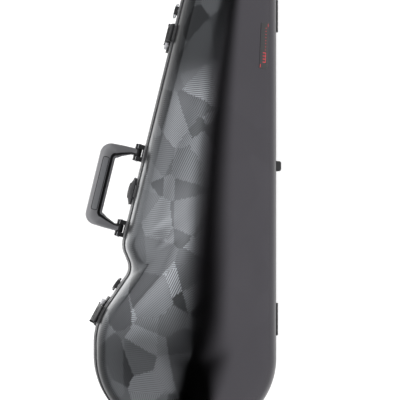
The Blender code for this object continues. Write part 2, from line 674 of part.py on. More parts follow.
def make_badge():
    """A thin strip lying on the hinge-side shoulder of the lid."""
    rows = []
    for k in range(5):
        y = BADGE_Y[0] + (BADGE_Y[1] - BADGE_Y[0]) * k / 4
        point, normal = side_station(y, hinge_side=True)
        row = []
        for level in BADGE_LEVELS:
            here = lid_point(point, normal, level)
            ahead = lid_point(point, normal, level + 1)
            slope = (ahead - here).normalized()
            out = Vector((0, 1, 0)).cross(slope)
            out = out if out.z > 0 else -out
            row.append(here + out.normalized() * 0.7 * MM)
        rows.append(row)
    bm = bmesh.new()
    grid = [[bm.verts.new(p) for p in row] for row in rows]
    for low, high in zip(grid, grid[1:]):
        for i in range(len(low) - 1):
            bm.faces.new((low[i], high[i], high[i + 1], low[i + 1]))
    for face in bm.faces:
        face.normal_update()
        if face.normal.z < 0:
            face.normal_flip()
    badge = add_object("badge_plate", bm, "badge", closed=False)
    solidify(badge, 0.8 * MM, 1.0)


# ---- interior ------------------------------------------------------------------------------
# half outline of the violin's bed: along the violin, across it, fillet radius
BED_HALF = [(-8, 108, 82), (128, 108, 70), (176, 60, 26), (226, 60, 26), (250, 87.5, 24),
            (362, 87.5, 45), (362, 28, 12), (500, 28, 6), (510, 38, 6), (602, 38, 20)]
BOX_LOW = (52 * MM, 268 * MM)
BOX_HIGH = (104 * MM, 368 * MM)
BOX_FLOOR = 18.5 * MM
BOX_TOP = FOAM_TOP - 2 * MM
BOX_WALL = 2.5 * MM
LINER_INSET = SHELL_WALL + 1.0 * MM
LINER_THICK = 4 * MM
REST_SPAN = (415 * MM, 455 * MM)         # neck rest, along the violin
REST_HALF = 27 * MM
REST_TOP = 62 * MM
SADDLE_R = 16 * MM
STRAP_SPAN = (422 * MM, 447 * MM)
STRAP_R = 21 * MM
STRAP_THICK = 1.6 * MM
ABOVE = 100 * MM                         # cutters reach past every upper face


def bed_frame():
    along = Vector((math.sin(VIOLIN_TILT), math.cos(VIOLIN_TILT), 0))
    up = Vector((0, 0, 1))
    across = along.cross(up)
    turn = Matrix((across, along, up)).transposed().to_4x4()
    return Matrix.Translation((VIOLIN_END.x, VIOLIN_END.y, 0)) @ turn


def make_foam():
    levels = (90, 66, 44, 22, 0)
    rings = [[base_point(p, n, level, LINER_INSET, FOAM_TOP) for p, n in COARSE] for level in levels]
    foam = add_object("suspension_foam", loft_mesh(rings), "velvet")
    right = [(s * MM, t * MM, r * MM) for t, s, r in BED_HALF]
    left = [(-x, y, r) for x, y, r in reversed(right)]
    bed = [p for p, n in rounded_outline(right + left, 16.0, 500 * MM)]
    cutter = prism_mesh([tuple(p) for p in bed], "Z", BED_FLOOR, ABOVE)
    boolean(foam, add_object("violin_bed", cutter, home=bed_frame()))
    pit = box_mesh((BOX_LOW[0] - GAP, BOX_LOW[1] - GAP, BOX_FLOOR - 0.5 * MM),
                   (BOX_HIGH[0] + GAP, BOX_HIGH[1] + GAP, ABOVE))
    boolean(foam, add_object("box_pit", pit))


def make_neck_rest():
    home = bed_frame()
    profile = [(-REST_HALF, BED_FLOOR + GAP), (REST_HALF, BED_FLOOR + GAP), (REST_HALF, REST_TOP)]
    profile += arc((0, REST_TOP), SADDLE_R, 0, -180, 8)
    profile += [(-REST_HALF, REST_TOP)]
    add_object("neck_rest", prism_mesh(profile, "Y", *REST_SPAN), "velvet", home)
    centre = (0, REST_TOP - 2 * MM)
    outer = arc(centre, STRAP_R, 0, 180, 10)
    inner = arc(centre, STRAP_R - STRAP_THICK, 180, 0, 10)
    foot = REST_TOP + 0.6 * MM
    band = prism_mesh([(x, max(z, foot)) for x, z in outer + inner], "Y", *STRAP_SPAN)
    add_object("neck_strap", band, "velvet", home)


FLAP_THICK = 2.6 * MM
FLAP_ROD_R = 1.2 * MM
RIBBON = (20 * MM, 10 * MM, 1 * MM)      # length, width, thickness


def make_accessory_box():
    tub = add_object("accessory_box", box_mesh((*BOX_LOW, BOX_FLOOR), (*BOX_HIGH, BOX_TOP)), "velvet")
    inside = box_mesh((BOX_LOW[0] + BOX_WALL, BOX_LOW[1] + BOX_WALL, BOX_FLOOR + BOX_WALL),
                      (BOX_HIGH[0] - BOX_WALL, BOX_HIGH[1] - BOX_WALL, ABOVE))
    boolean(tub, add_object("box_inside", inside))
    hinge_x = BOX_HIGH[0] - 3 * MM
    low = BOX_TOP + GAP
    flap = box_mesh((BOX_LOW[0] + MM, BOX_LOW[1] + MM, low),
                    (hinge_x - MM, BOX_HIGH[1] - MM, low + FLAP_THICK))
    flap = add_object("accessory_flap", flap, "velvet")
    bevel(flap, 0.8 * MM)
    length, width, thick = RIBBON
    middle = (BOX_LOW[1] + BOX_HIGH[1]) / 2
    face = low + FLAP_THICK + GAP
    tab = box_mesh((BOX_LOW[0] + 2 * MM, middle - width / 2, face),
                   (BOX_LOW[0] + 2 * MM + length, middle + width / 2, face + thick))
    add_object("flap_ribbon", tab, "grip")
    x, z = hinge_x + 0.8 * MM, BOX_TOP + 1.7 * MM
    rod = rod_mesh(FLAP_ROD_R, (x, BOX_LOW[1] + 2 * MM, z), (x, BOX_HIGH[1] - 2 * MM, z), 12)
    add_object("flap_hinge_rod", rod, "steel")


def make_lid_liner():
    rings = []
    for level in (6, 20, 36, 52, 66, 78, 86):
        rings.append([lid_point(p, n, level, LINER_INSET) for p, n in COARSE])
    liner = add_object("lid_liner", loft_mesh(rings, cap_first=False), "velvet", closed=False)
    solidify(liner, LINER_THICK)


BOW_X = (-26 * MM, 22 * MM)       # the two bows, measured across the violin's axis
CLIP_ALONG = 505 * MM
CLIP_THICK = 5 * MM
CLIP_BASE_R = 8 * MM
CLIP_DROP = 7 * MM                # height of a clip's base
POCKET = (30 * MM, 92 * MM)       # from and to, along the violin
POCKET_HALF = 17 * MM
POCKET_DEPTH = 26 * MM
POCKET_WALL = 2.5 * MM


def liner_underside(x, y, reach=0.0):
    """Height of the lining's inner surface over a plan point, less a little."""
    crown, share = crown_under(Vector((x, y)))
    half = HINGE_WALL_X - crown.x - LINER_INSET - LINER_THICK
    draw = min(abs(x - crown.x) + reach, half) / half
    rise = LID_RISE_TAIL + (LID_RISE_NECK - LID_RISE_TAIL) * share - LINER_INSET
    square = (1 - draw ** LID_POWER) ** (1 / LID_POWER)
    return LID_EDGE_Z + rise * ((1 - LID_ROUNDING) * square + LID_ROUNDING * (1 - draw * draw)) - LINER_THICK


def make_bow_holders():
    home = bed_frame()
    for k, across in enumerate(BOW_X):
        spot = home @ Vector((across * 0.7, CLIP_ALONG, 0))
        roof = liner_underside(spot.x, spot.y, CLIP_BASE_R + MM) - 1.2 * MM
        head = roof - CLIP_DROP
        base = rod_mesh(CLIP_BASE_R, (spot.x, spot.y, head), (spot.x, spot.y, roof))
        add_object(f"bow_clip_base_{k + 1}", base, "black_plastic")
        plan = [(-6 * MM, -6 * MM), (6 * MM, -6 * MM), (6 * MM, 6 * MM), (3 * MM, 20 * MM),
                (-3 * MM, 20 * MM), (-6 * MM, 6 * MM)]
        turn = Matrix.Translation((spot.x, spot.y, 0)) @ home.to_3x3().to_4x4()
        arm = prism_mesh(plan, "Z", head - GAP - CLIP_THICK, head - GAP)
        clip = add_object(f"bow_clip_{k + 1}", arm, "black_plastic", turn)
        bevel(clip, 0.8 * MM)

        low, high = POCKET
        spot = home @ Vector((across, (low + high) / 2, 0))
        roof = liner_underside(spot.x, spot.y - (high - low) / 2, POCKET_HALF + 7 * MM) - 4 * MM
        sleeve = rectangle((across - POCKET_HALF, roof - POCKET_DEPTH), (across + POCKET_HALF, roof))
        pocket = add_object(f"bow_pocket_{k + 1}", prism_mesh(sleeve, "Y", low, high), "velvet", home)
        room_half = POCKET_HALF - POCKET_WALL
        room = rectangle((across - room_half, roof - POCKET_DEPTH + POCKET_WALL),
                         (across + room_half, roof - POCKET_WALL))
        room = prism_mesh(room, "Y", low + 3 * MM, high + MM)
        boolean(pocket, add_object(f"pocket_room_{k + 1}", room, home=home))


# ---- build ---------------------------------------------------------------------------------
make_shells()
make_rims()
for spot in ("neck", "bout"):
    make_hinge(spot)
    make_latch(spot)
    make_strap_ring(spot)
make_brackets()
make_handle()
make_lock()
make_foot()
make_badge()
make_foam()
make_neck_rest()
make_accessory_box()
make_lid_liner()
make_bow_holders()
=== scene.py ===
"""The looks of a hard-shell contoured violin case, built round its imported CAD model."""
import json
import math

import bmesh
import bpy
from mathutils import Matrix, Vector

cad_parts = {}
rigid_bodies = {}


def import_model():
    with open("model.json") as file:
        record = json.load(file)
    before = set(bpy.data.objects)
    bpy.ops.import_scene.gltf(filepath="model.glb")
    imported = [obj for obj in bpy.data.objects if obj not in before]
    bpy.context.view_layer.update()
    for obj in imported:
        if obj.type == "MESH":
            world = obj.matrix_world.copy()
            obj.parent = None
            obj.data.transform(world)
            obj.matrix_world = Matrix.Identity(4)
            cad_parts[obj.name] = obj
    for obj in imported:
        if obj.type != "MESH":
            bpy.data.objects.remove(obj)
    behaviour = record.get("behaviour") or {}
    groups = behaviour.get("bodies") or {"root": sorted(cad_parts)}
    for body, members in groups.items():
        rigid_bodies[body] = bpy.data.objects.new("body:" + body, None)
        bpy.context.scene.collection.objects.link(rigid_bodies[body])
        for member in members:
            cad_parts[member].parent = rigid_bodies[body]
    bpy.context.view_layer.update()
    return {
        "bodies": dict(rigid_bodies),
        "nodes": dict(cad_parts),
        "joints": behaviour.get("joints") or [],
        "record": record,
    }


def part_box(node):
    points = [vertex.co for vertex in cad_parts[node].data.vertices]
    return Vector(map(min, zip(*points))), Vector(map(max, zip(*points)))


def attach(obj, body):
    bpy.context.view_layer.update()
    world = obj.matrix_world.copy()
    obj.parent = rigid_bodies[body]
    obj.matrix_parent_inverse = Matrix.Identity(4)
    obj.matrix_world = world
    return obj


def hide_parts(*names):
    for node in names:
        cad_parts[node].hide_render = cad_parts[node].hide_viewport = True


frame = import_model()
NODES = frame["nodes"]
MM = 0.001
SLOTS = {row["node"]: row["material_slot"] for row in frame["record"]["subparts"]}
BODY_OF = {node: body for body, nodes in frame["record"]["behaviour"]["bodies"].items() for node in nodes}


# ---- materials -----------------------------------------------------------------------------
class Nodes:
    """A short way to write a node tree."""

    def __init__(self, tree):
        self.tree = tree

    def add(self, kind, inputs=None, **settings):
        made = self.tree.nodes.new(kind)
        for key, value in settings.items():
            setattr(made, key, value)
        self.fill(made, inputs or {})
        return made

    def fill(self, node, inputs):
        for key, value in inputs.items():
            self.put(node.inputs[key], value)

    def put(self, socket, value):
        if isinstance(value, bpy.types.NodeSocket):
            self.tree.links.new(value, socket)
        else:
            socket.default_value = value

    def math(self, operation, a, b=None, c=None):
        values = {0: a}
        if b is not None:
            values[1] = b
        if c is not None:
            values[2] = c
        return self.add("ShaderNodeMath", values, operation=operation).outputs[0]

    def plus(self, a, b):
        return self.math("ADD", a, b)

    def minus(self, a, b):
        return self.math("SUBTRACT", a, b)

    def times(self, a, b):
        return self.math("MULTIPLY", a, b)

    def muladd(self, a, b, c):
        """a times b, plus c."""
        return self.math("MULTIPLY_ADD", a, b, c)

    def smooth(self, value, low, high, start=0.0, end=1.0):
        made = self.add("ShaderNodeMapRange", {0: value, 1: low, 2: high, 3: start, 4: end},
                        interpolation_type="SMOOTHSTEP")
        return made.outputs[0]

    def bell(self, value, centre, width):
        """One at the centre, falling off on both sides."""
        off = self.math("DIVIDE", self.minus(value, centre), width)
        return self.math("EXPONENT", self.times(self.times(off, off), -0.5))

    def noise(self, where, scale, detail=2.0, roughness=0.5):
        inputs = {"Vector": where, "Scale": scale, "Detail": detail, "Roughness": roughness}
        return self.add("ShaderNodeTexNoise", inputs).outputs["Fac"]

    def bump(self, height, strength, distance, normal=None):
        inputs = {"Height": height, "Strength": strength, "Distance": distance}
        if normal is not None:
            inputs["Normal"] = normal
        return self.add("ShaderNodeBump", inputs).outputs["Normal"]

    def ramp(self, value, stops, steps=False):
        """A number read off a list of (place, number)."""
        top = max(abs(number) for place, number in stops)
        made = self.add("ShaderNodeValToRGB", {0: value})
        band = made.color_ramp
        band.interpolation = "CONSTANT" if steps else "LINEAR"
        while len(band.elements) < len(stops):
            band.elements.new(1.0)
        for element, (place, number) in zip(band.elements, stops):
            element.position = place
            element.color = (number / top / 2 + 0.5,) * 3 + (1,)
        return self.times(self.minus(made.outputs[0], 0.5), 2 * top)

    def mix(self, share, a, b):
        made = self.add("ShaderNodeMix", data_type="RGBA")
        self.put(made.inputs["Factor"], share)
        self.put(made.inputs["A"], a)
        self.put(made.inputs["B"], b)
        return made.outputs["Result"]


def empty_nodes(owner):
    owner.use_nodes = True
    owner.node_tree.nodes.clear()
    return Nodes(owner.node_tree)


def new_material(name):
    made = bpy.data.materials.new(name)
    n = empty_nodes(made)
    shader = n.add("ShaderNodeBsdfPrincipled")
    out = n.add("ShaderNodeOutputMaterial")
    made.node_tree.links.new(shader.outputs[0], out.inputs[0])
    place = n.add("ShaderNodeTexCoord").outputs["Object"]
    return made, n, shader, place


WEAR = 0.12                     # share by which worn places differ in tone


def moulded(name, colour, roughness, grain=0.00004, grain_scale=1800, specular=0.5):
    """A moulded or coated surface: fine grain, and colour and gloss that vary a little."""
    made, n, shader, place = new_material(name)
    broad = n.noise(place, 14, 3.0)
    fine = n.noise(place, grain_scale, 2.0)
    shade = n.muladd(broad, 2 * WEAR, 1 - WEAR)
    scaled = n.add("ShaderNodeVectorMath", {0: colour, "Scale": shade}, operation="SCALE")
    n.fill(shader, {
        "Base Color": scaled.outputs[0],
        "Roughness": n.muladd(broad, 0.12, roughness - 0.06),
        "Specular IOR Level": specular,
        "Normal": n.bump(fine, 0.5, grain),
    })
    return made


def brushed(name, colour, roughness, along=(60, 60, 2400)):
    """Metal with fine brushing; along is the stretch of the noise in each direction."""
    made, n, shader, place = new_material(name)
    stretched = n.add("ShaderNodeVectorMath", {0: place, 1: along}, operation="MULTIPLY").outputs[0]
    lines = n.noise(stretched, 1.0, 3.0, 0.6)
    n.fill(shader, {
        "Base Color": n.mix(lines, (*[c * 0.86 for c in colour], 1), (*colour, 1)),
        "Roughness": n.muladd(lines, 0.16, roughness - 0.08),
        "Metallic": 1.0,
        "Normal": n.bump(lines, 0.25, 0.00003),
    })
    return made


def velvet(name, colour):
    """Short pile: soft mottling, a fine nap and a sheen."""
    made, n, shader, place = new_material(name)
    cloud = n.noise(place, 22, 4.0, 0.6)
    nap = n.noise(place, 1500, 3.0, 0.7)
    tone = n.muladd(cloud, 0.5, n.times(nap, 0.5))
    dark, light = [c * 0.6 for c in colour], [c * 1.5 for c in colour]
    n.fill(shader, {
        "Base Color": n.mix(tone, (*dark, 1), (*light, 1)),
        "Roughness": 0.95,
        "Specular IOR Level": 0.15,
        "Sheen Weight": 0.55,
        "Sheen Roughness": 0.4,
        "Sheen Tint": (0.55, 0.58, 0.66, 1),
        "Normal": n.bump(nap, 0.6, 0.0003),
    })
    return made


def woven(name, colour, pitch=0.0011):
    """Woven tape: crossing threads in relief."""
    made, n, shader, place = new_material(name)
    split = n.add("ShaderNodeSeparateXYZ", {0: place})
    wave = [n.math("SINE", n.times(split.outputs[k], 2 * math.pi / pitch)) for k in (0, 1)]
    weave = n.muladd(n.times(wave[0], wave[1]), 0.5, 0.5)
    n.fill(shader, {
        "Base Color": n.mix(weave, (*[c * 0.5 for c in colour], 1), (*colour, 1)),
        "Roughness": 0.85,
        "Sheen Weight": 0.2,
        "Normal": n.bump(weave, 0.8, 0.0003),
    })
    return made


HALF_LENGTH = 390 * MM
CASE_TOP = 150 * MM
CROWN_BEND, CROWN_LEAN = 83 * MM, -5 * MM       # how far the crown line drifts to +X on its way to the neck
STRIPE_PITCH = 2.7 * MM
# painted reflection: how much lighter and darker the ribs are painted in the colour
RIB_PAINTED_REFLECTION = 0.26
STRIPE_END = (62 * MM, 84 * MM)                 # heights between which the ribs fade out
EDGE_STEP = 2.2 * MM                            # teeth along the facets' edges
FACET_SIZE = (72 * MM, 50 * MM)
FACET_STARTS = ((5.4, 2.3, 0), (8.7, 6.1, 0))
# painted reflection: each facet's brightness, standing in for the light its ribs throw back from the bright box
PAINTED_FACET_REFLECTION = ((0.0, 0.32), (0.16, 0.55), (0.32, 0.78), (0.48, 0.98), (0.66, 1.18), (0.84, 1.42))
FACET_TURNS = (-38, 52, -38, 4, -62)            # degrees
RELIEF_END = (-6 * MM, 26 * MM)                 # past the crown, the relief fades out, and with it the painted reflection: the hinge side, lit only by the dim box, is painted plain
RELIEF_LEFT = 0.06
WAIST = (-80 * MM, 62 * MM * math.sqrt(0.5))    # centre and width of a bell in which the relief is fainter
WALL_END = (108 * MM, 138 * MM)                 # heights between which the wall turns into the top
# painted shade: the shell's colour is darker towards the neck end and the bottom end
NECK_SHADE_RANGE, BOUT_SHADE_RANGE = (70 * MM, 145 * MM), (-290 * MM, -170 * MM)
NECK_PAINTED_SHADE, BOUT_PAINTED_SHADE = 0.28, 0.42
PLAIN_TINT, FACET_TINT = (0.99, 0.94, 1.05), (0.94, 0.98, 1.04)


def facet_shell(name, reflectance, roughness):
    """Dark lacquered shell with a relief of large facets, each filled with fine parallel ribs. Each facet's and
    rib's brightness is painted reflection in the colour, in place of the light its relief throws back. This painted
    pattern is kept to the handle side, and the shell is painted darker towards both ends as painted shade.
    """
    made, n, shader, place = new_material(name)
    x, y, z = n.add("ShaderNodeSeparateXYZ", {0: place}).outputs
    share = n.math("DIVIDE", n.plus(y, HALF_LENGTH), 2 * HALF_LENGTH)
    crown = n.plus(n.times(n.math("POWER", share, 2.0), CROWN_BEND), n.times(share, CROWN_LEAN))
    past = n.minus(x, crown)
    drop = n.times(n.math("SIGN", past), n.minus(CASE_TOP, z))
    flat_x = n.plus(x, drop)
    steps = []
    for a, b in ((flat_x, y), (y, n.times(flat_x, -1.0))):
        slant = n.times(n.plus(a, b), math.sqrt(0.5))
        steps.append(n.math("SNAP", slant, EDGE_STEP))
    flat = n.add("ShaderNodeCombineXYZ", {0: n.minus(steps[0], steps[1]),
                                          1: n.plus(steps[0], steps[1])}).outputs[0]
    cells = []
    for size, start in zip(FACET_SIZE, FACET_STARTS):
        moved = n.add("ShaderNodeVectorMath", {0: flat, 1: (math.sqrt(0.5) / size,) * 3, 2: start},
                      operation="MULTIPLY_ADD")
        cell = n.add("ShaderNodeTexVoronoi", {"Vector": moved.outputs[0], "Scale": 1.0, "Randomness": 1.0},
                     voronoi_dimensions="2D", feature="F1")
        cells.append(n.add("ShaderNodeSeparateColor", {0: cell.outputs["Color"]}))
    pick, other = [n.math("FRACT", n.muladd(cells[1].outputs[k], k + 2.0, cells[0].outputs[k]))
                   for k in (0, 1)]
    stops = [(k / len(FACET_TURNS), math.radians(turn)) for k, turn in enumerate(FACET_TURNS)]
    angle = n.ramp(other, stops, True)
    across = n.plus(n.times(flat_x, n.math("SINE", angle)), n.times(y, n.math("COSINE", angle)))
    pitch = n.muladd(n.math("GREATER_THAN", other, 0.8), 0.15, 1.0)
    turns = n.math("DIVIDE", n.times(across, 2 * math.pi / STRIPE_PITCH), pitch)
    rib = n.muladd(n.math("SINE", turns), 0.5, 0.5)
    # painted reflection: facets and ribs are made lighter and darker in the colour, in place of light reflected off
    # the relief
    tone = n.ramp(pick, PAINTED_FACET_REFLECTION, True)
    depth = n.muladd(cells[1].outputs[2], RIB_PAINTED_REFLECTION, RIB_PAINTED_REFLECTION)
    depth = n.times(depth, n.smooth(z, *STRIPE_END))
    lines = n.muladd(n.minus(rib, 0.5), n.times(depth, 2.0), 1.0)
    # painted light: the pattern's painted reflection and its relief are shown on the handle side, which the bright
    # box lights, and fade out past the crown
    lit_side_share = n.smooth(past, *RELIEF_END, 1.0, RELIEF_LEFT)
    hue = n.mix(lit_side_share, (*PLAIN_TINT, 1), (*FACET_TINT, 1))
    wall = n.smooth(z, *WALL_END, 1.0, 0.0)
    lit_side_share = n.times(lit_side_share, n.muladd(wall, -0.3, 1.0))
    waist = n.bell(y, *WAIST)
    lit_side_share = n.times(lit_side_share, n.muladd(waist, -0.6, 1.0))
    painted_reflection = n.times(tone, lines)
    # painted shade: darker towards the neck end and the bottom end
    ends = n.times(n.smooth(y, *NECK_SHADE_RANGE, 1.0, NECK_PAINTED_SHADE), n.smooth(y, *BOUT_SHADE_RANGE, BOUT_PAINTED_SHADE, 1.0))
    level = n.muladd(n.minus(n.times(painted_reflection, ends), 1.0), lit_side_share, 1.0)
    smudge = n.muladd(n.noise(place, 7, 2.0), 0.12, 0.94)
    level = n.times(level, smudge)
    strength = n.times(level, reflectance)
    tinted = n.add("ShaderNodeVectorMath", {0: hue, "Scale": strength}, operation="SCALE")
    n.fill(shader, {
        "Base Color": tinted.outputs[0],
        "Metallic": 1.0,
    })
    dull = n.muladd(wall, 0.2, roughness)
    n.put(shader.inputs["Roughness"], n.muladd(rib, 0.02, dull))
    height = n.times(rib, lit_side_share)
    first = n.bump(n.noise(place, 2600, 1.0), 0.12, 0.00002)
    n.put(shader.inputs["Normal"], n.bump(height, 0.5, 0.00003, first))
    return made


MATERIALS = {
    "shell": facet_shell("shell_relief", 0.064, 0.095),
    "rim_grey": moulded("rim_satin_grey", (0.04, 0.04, 0.042), 0.4, specular=0.4),
    "rim_black": moulded("rim_black", (0.004, 0.004, 0.005), 0.4, specular=0.25),
    "seal_rubber": moulded("seal_rubber", (0.01, 0.01, 0.01), 0.8, 0.0001, 900, 0.3),
    "lining": velvet("lining_velvet", (0.045, 0.048, 0.058)),
    "webbing": woven("webbing_black", (0.03, 0.03, 0.033)),
    "steel": brushed("nickel_steel", (0.27, 0.275, 0.285), 0.42),
    "satin_metal": brushed("satin_silver", (0.24, 0.24, 0.25), 0.45),
    "black_plastic": moulded("black_moulding", (0.003, 0.003, 0.0035), 0.55, specular=0.12),
    "grey_plastic": moulded("grey_moulding", (0.05, 0.05, 0.054), 0.34, 0.00006, 1500),
    "grip_rubber": moulded("grip_rubber", (0.045, 0.046, 0.05), 0.55, 0.0003, 1100, 0.35),
    "hinge_black": moulded("hinge_coating", (0.008, 0.008, 0.009), 0.42, 0.00005, 2200),
    "foot_rubber": moulded("foot_rubber", (0.032, 0.032, 0.033), 0.7, 0.00015, 1100, 0.3),
    "badge": moulded("badge_black", (0.012, 0.012, 0.013), 0.45),
    "piping": woven("piping_cord", (0.022, 0.023, 0.027), 0.0016),
    "thread": woven("grey_thread", (0.16, 0.16, 0.17), 0.0008),
}
BADGE_RED = moulded("badge_red", (0.6, 0.03, 0.04), 0.5)
LOCK_GREY = moulded("lock_satin_grey", (0.011, 0.011, 0.0125), 0.6, specular=0.1)


# ---- making pieces -------------------------------------------------------------------------
def new_object(name, data):
    made = bpy.data.objects.new(name, data)
    bpy.context.scene.collection.objects.link(made)
    return made


def add_modifier(piece, kind, **settings):
    made = piece.modifiers.new(kind.lower(), kind)
    for key, value in settings.items():
        setattr(made, key, value)
    return made


def add_piece(name, bm, body, slot, replaces=(), smooth_angle=35.0, material=None):
    """A new visible piece that rides on a body and may stand for CAD nodes."""
    mesh = bpy.data.meshes.new(name)
    bm.to_mesh(mesh)
    bm.free()
    made = new_object(name, mesh)
    mesh.materials.append(material or MATERIALS[slot])
    mesh.shade_smooth()
    if smooth_angle < 180:
        mesh.set_sharp_from_angle(angle=math.radians(smooth_angle))
    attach(made, body)
    if replaces:
        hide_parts(*replaces)
    return made


SHARPEST = math.radians(28)     # edges that turn by more are rounded


def refine(node, width, segments=3):
    """The CAD piece again with its edges rounded."""
    bm = bmesh.new()
    bm.from_mesh(NODES[node].data)
    bmesh.ops.remove_doubles(bm, verts=bm.verts, dist=1e-6)
    bmesh.ops.dissolve_limit(bm, angle_limit=math.radians(1.0), verts=bm.verts, edges=bm.edges)
    made = add_piece(f"{node}_fine", bm, BODY_OF[node], SLOTS[node], (node,), 180)
    add_modifier(made, "BEVEL", width=width, segments=segments, limit_method="ANGLE", angle_limit=SHARPEST,
                 harden_normals=True)
    return made


def loft(rings, close=False, cap=True):
    bm = bmesh.new()
    rows = [[bm.verts.new(p) for p in ring] for ring in rings]
    pairs = list(zip(rows, rows[1:])) + ([(rows[-1], rows[0])] if close else [])
    for low, high in pairs:
        for i in range(len(low)):
            j = (i + 1) % len(low)
            bm.faces.new((low[i], low[j], high[j], high[i]))
    if cap and not close:
        bm.faces.new(list(reversed(rows[0])))
        bm.faces.new(rows[-1])
    return bm


# ---- plan outline, as in the CAD model -------------------------------------------------------
HINGE_X, BOUT_X = 132 * MM, -124.5 * MM
CORNERS = [
    (HINGE_X, -HALF_LENGTH, 104 * MM), (HINGE_X, HALF_LENGTH, 40 * MM), (41 * MM, HALF_LENGTH, 45 * MM),
    (-85.5 * MM, -125 * MM, 30 * MM), (-72 * MM, -158 * MM, 25 * MM), (BOUT_X, -234 * MM, 90 * MM),
    (BOUT_X, -HALF_LENGTH, 111 * MM),
]
CROWN = [Vector((4 * MM, -270 * MM)), Vector((1.5 * MM, 35 * MM)), Vector((80 * MM, 340 * MM))]
LID_EDGE = 84.6 * MM
BASE_EDGE = 74 * MM
LID_RISE = (65.4 * MM, 58 * MM)
LID_POWER, LID_ROUNDING = 3.0, 0.18
BASE_POWER, BASE_FLAT = 2.8, 0.68
SHELL_WALL = 2.4 * MM


def rounded_outline(corners, arc_step):
    """Points and outward normals round a filleted polygon given anticlockwise."""
    stations = []
    count = len(corners)
    for i, (x, y, radius) in enumerate(corners):
        here = Vector((x, y))
        d_in = (here - Vector(corners[i - 1][:2])).normalized()
        d_out = (Vector(corners[(i + 1) % count][:2]) - here).normalized()
        turn = math.atan2(d_in.cross(d_out), d_in.dot(d_out))
        side = 1 if turn > 0 else -1
        normal = Vector((d_in.y, -d_in.x))
        centre = here - d_in * radius * math.tan(abs(turn) / 2) - normal * radius * side
        steps = max(2, round(abs(turn) / math.radians(arc_step)))
        for k in range(steps + 1):
            n = Matrix.Rotation(turn * k / steps, 2) @ normal
            stations.append((centre + n * radius * side, n))
    return stations


FINE = rounded_outline(CORNERS, 0.5)
BAND = rounded_outline(CORNERS, 2.5)


def side_station(y, hinge_side, outline=FINE):
    """Point and outward normal where the outline crosses y."""
    for (a, na), (b, nb) in zip(outline, outline[1:] + outline[:1]):
        if (na.x + nb.x > 0) == hinge_side and a.y != b.y and (a.y - y) * (b.y - y) <= 0:
            share = (a.y - y) / (a.y - b.y)
            return a.lerp(b, share), na.lerp(nb, share).normalized()
    return None


END_POINTS = 5                  # on the straight edge at each end of the case


def matched_outline():
    """Outline points whose two halves share their y, so that rings close on the crown."""
    levels = sorted({round(p.y, 7) for p, n in rounded_outline(CORNERS, 4.0)})
    rows = []
    for low, high in zip(levels, levels[1:]):
        steps = max(1, math.ceil((high - low) / (14 * MM)))
        rows += [low + (high - low) * k / steps for k in range(steps)]
    rows = [y for y in rows[1:] if HALF_LENGTH - abs(y) > 0.02 * MM]
    right = [side_station(y, True) for y in rows]
    left = [side_station(y, False) for y in reversed(rows)]
    top = [p for p in FINE if p[1].y > 0.99999]
    bottom = [p for p in FINE if p[1].y < -0.99999]
    ends = []
    for group in (top, bottom):
        a, b = group[0][0], group[-1][0]
        ends.append([(a.lerp(b, k / (END_POINTS - 1)), group[0][1]) for k in range(END_POINTS)])
    return right + ends[0] + left + ends[1]


def crown_at(share):
    return CROWN[0].lerp(CROWN[1], share).lerp(CROWN[1].lerp(CROWN[2], share), share)


def lid_point(point, normal, level, inset=0.0):
    edge = point - normal * inset
    share = (point.y + HALF_LENGTH) / (2 * HALF_LENGTH)
    draw = max(math.cos(math.radians(level)), 0.0) ** (2 / LID_POWER)
    square = math.sin(math.radians(level)) ** (2 / LID_POWER)
    rise = LID_RISE[0] + (LID_RISE[1] - LID_RISE[0]) * share - inset
    height = rise * ((1 - LID_ROUNDING) * square + LID_ROUNDING * (1 - draw * draw))
    plan = crown_at(share).lerp(edge, draw)
    return Vector((plan.x, plan.y, LID_EDGE + height))


def base_point(point, normal, level, inset=0.0, top=BASE_EDGE):
    edge = point - normal * inset
    share = (edge.y + HALF_LENGTH) / (2 * HALF_LENGTH)
    wall = max(math.cos(math.radians(level)), 0.0) ** (2 / BASE_POWER)
    depth = math.sin(math.radians(level)) ** (2 / BASE_POWER)
    plan = crown_at(share).lerp(edge, BASE_FLAT + (1 - BASE_FLAT) * wall)
    return Vector((plan.x, plan.y, top - (top - inset) * depth))


LID_LEVELS = [0, 1.2, 3, 5, 7.5, 10, 13, 16, *range(20, 76, 4), 75.5, 79, 82, 84.5, 86.5, 88, 89.2, 90]
BASE_LEVELS = [*range(90, 12, -6), 13, 8, 4, 1.5, 0]


def add_skin(bm, rings, flip):
    """The vertices of a skin through rings of points, row by row."""
    rows = [[bm.verts.new(p) for p in ring] for ring in rings]
    for low, high in zip(rows, rows[1:]):
        for i in range(len(low)):
            j = (i + 1) % len(low)
            corners = (low[i], low[j], high[j], high[i])
            bm.faces.new(tuple(reversed(corners)) if flip else corners)
    return rows


def shell_pair(outside, inside):
    """The two skins of one wall, still open at the edges."""
    bm = bmesh.new()
    return bm, (add_skin(bm, outside, False), add_skin(bm, inside, True))


def join_edges(bm, one, other):
    """Faces from the edge of one skin to the edge of the other."""
    for i in range(len(one)):
        j = (i + 1) % len(one)
        bm.faces.new((one[i], one[j], other[j], other[i]))


def merge_close(bm):
    bmesh.ops.remove_doubles(bm, verts=bm.verts, dist=1e-6)
    bmesh.ops.dissolve_degenerate(bm, edges=bm.edges, dist=1e-7)


def make_lid():
    outline = matched_outline()
    outer = [[lid_point(p, n, level) for p, n in outline] for level in LID_LEVELS]
    inner = [[lid_point(p, n, level, SHELL_WALL) for p, n in outline] for level in LID_LEVELS[::3] + [90]]
    bm, (out_rows, in_rows) = shell_pair(outer, inner)
    join_edges(bm, in_rows[0], out_rows[0])
    merge_close(bm)
    add_piece("lid_skin", bm, "lid", "shell", ("lid_shell",), 60)


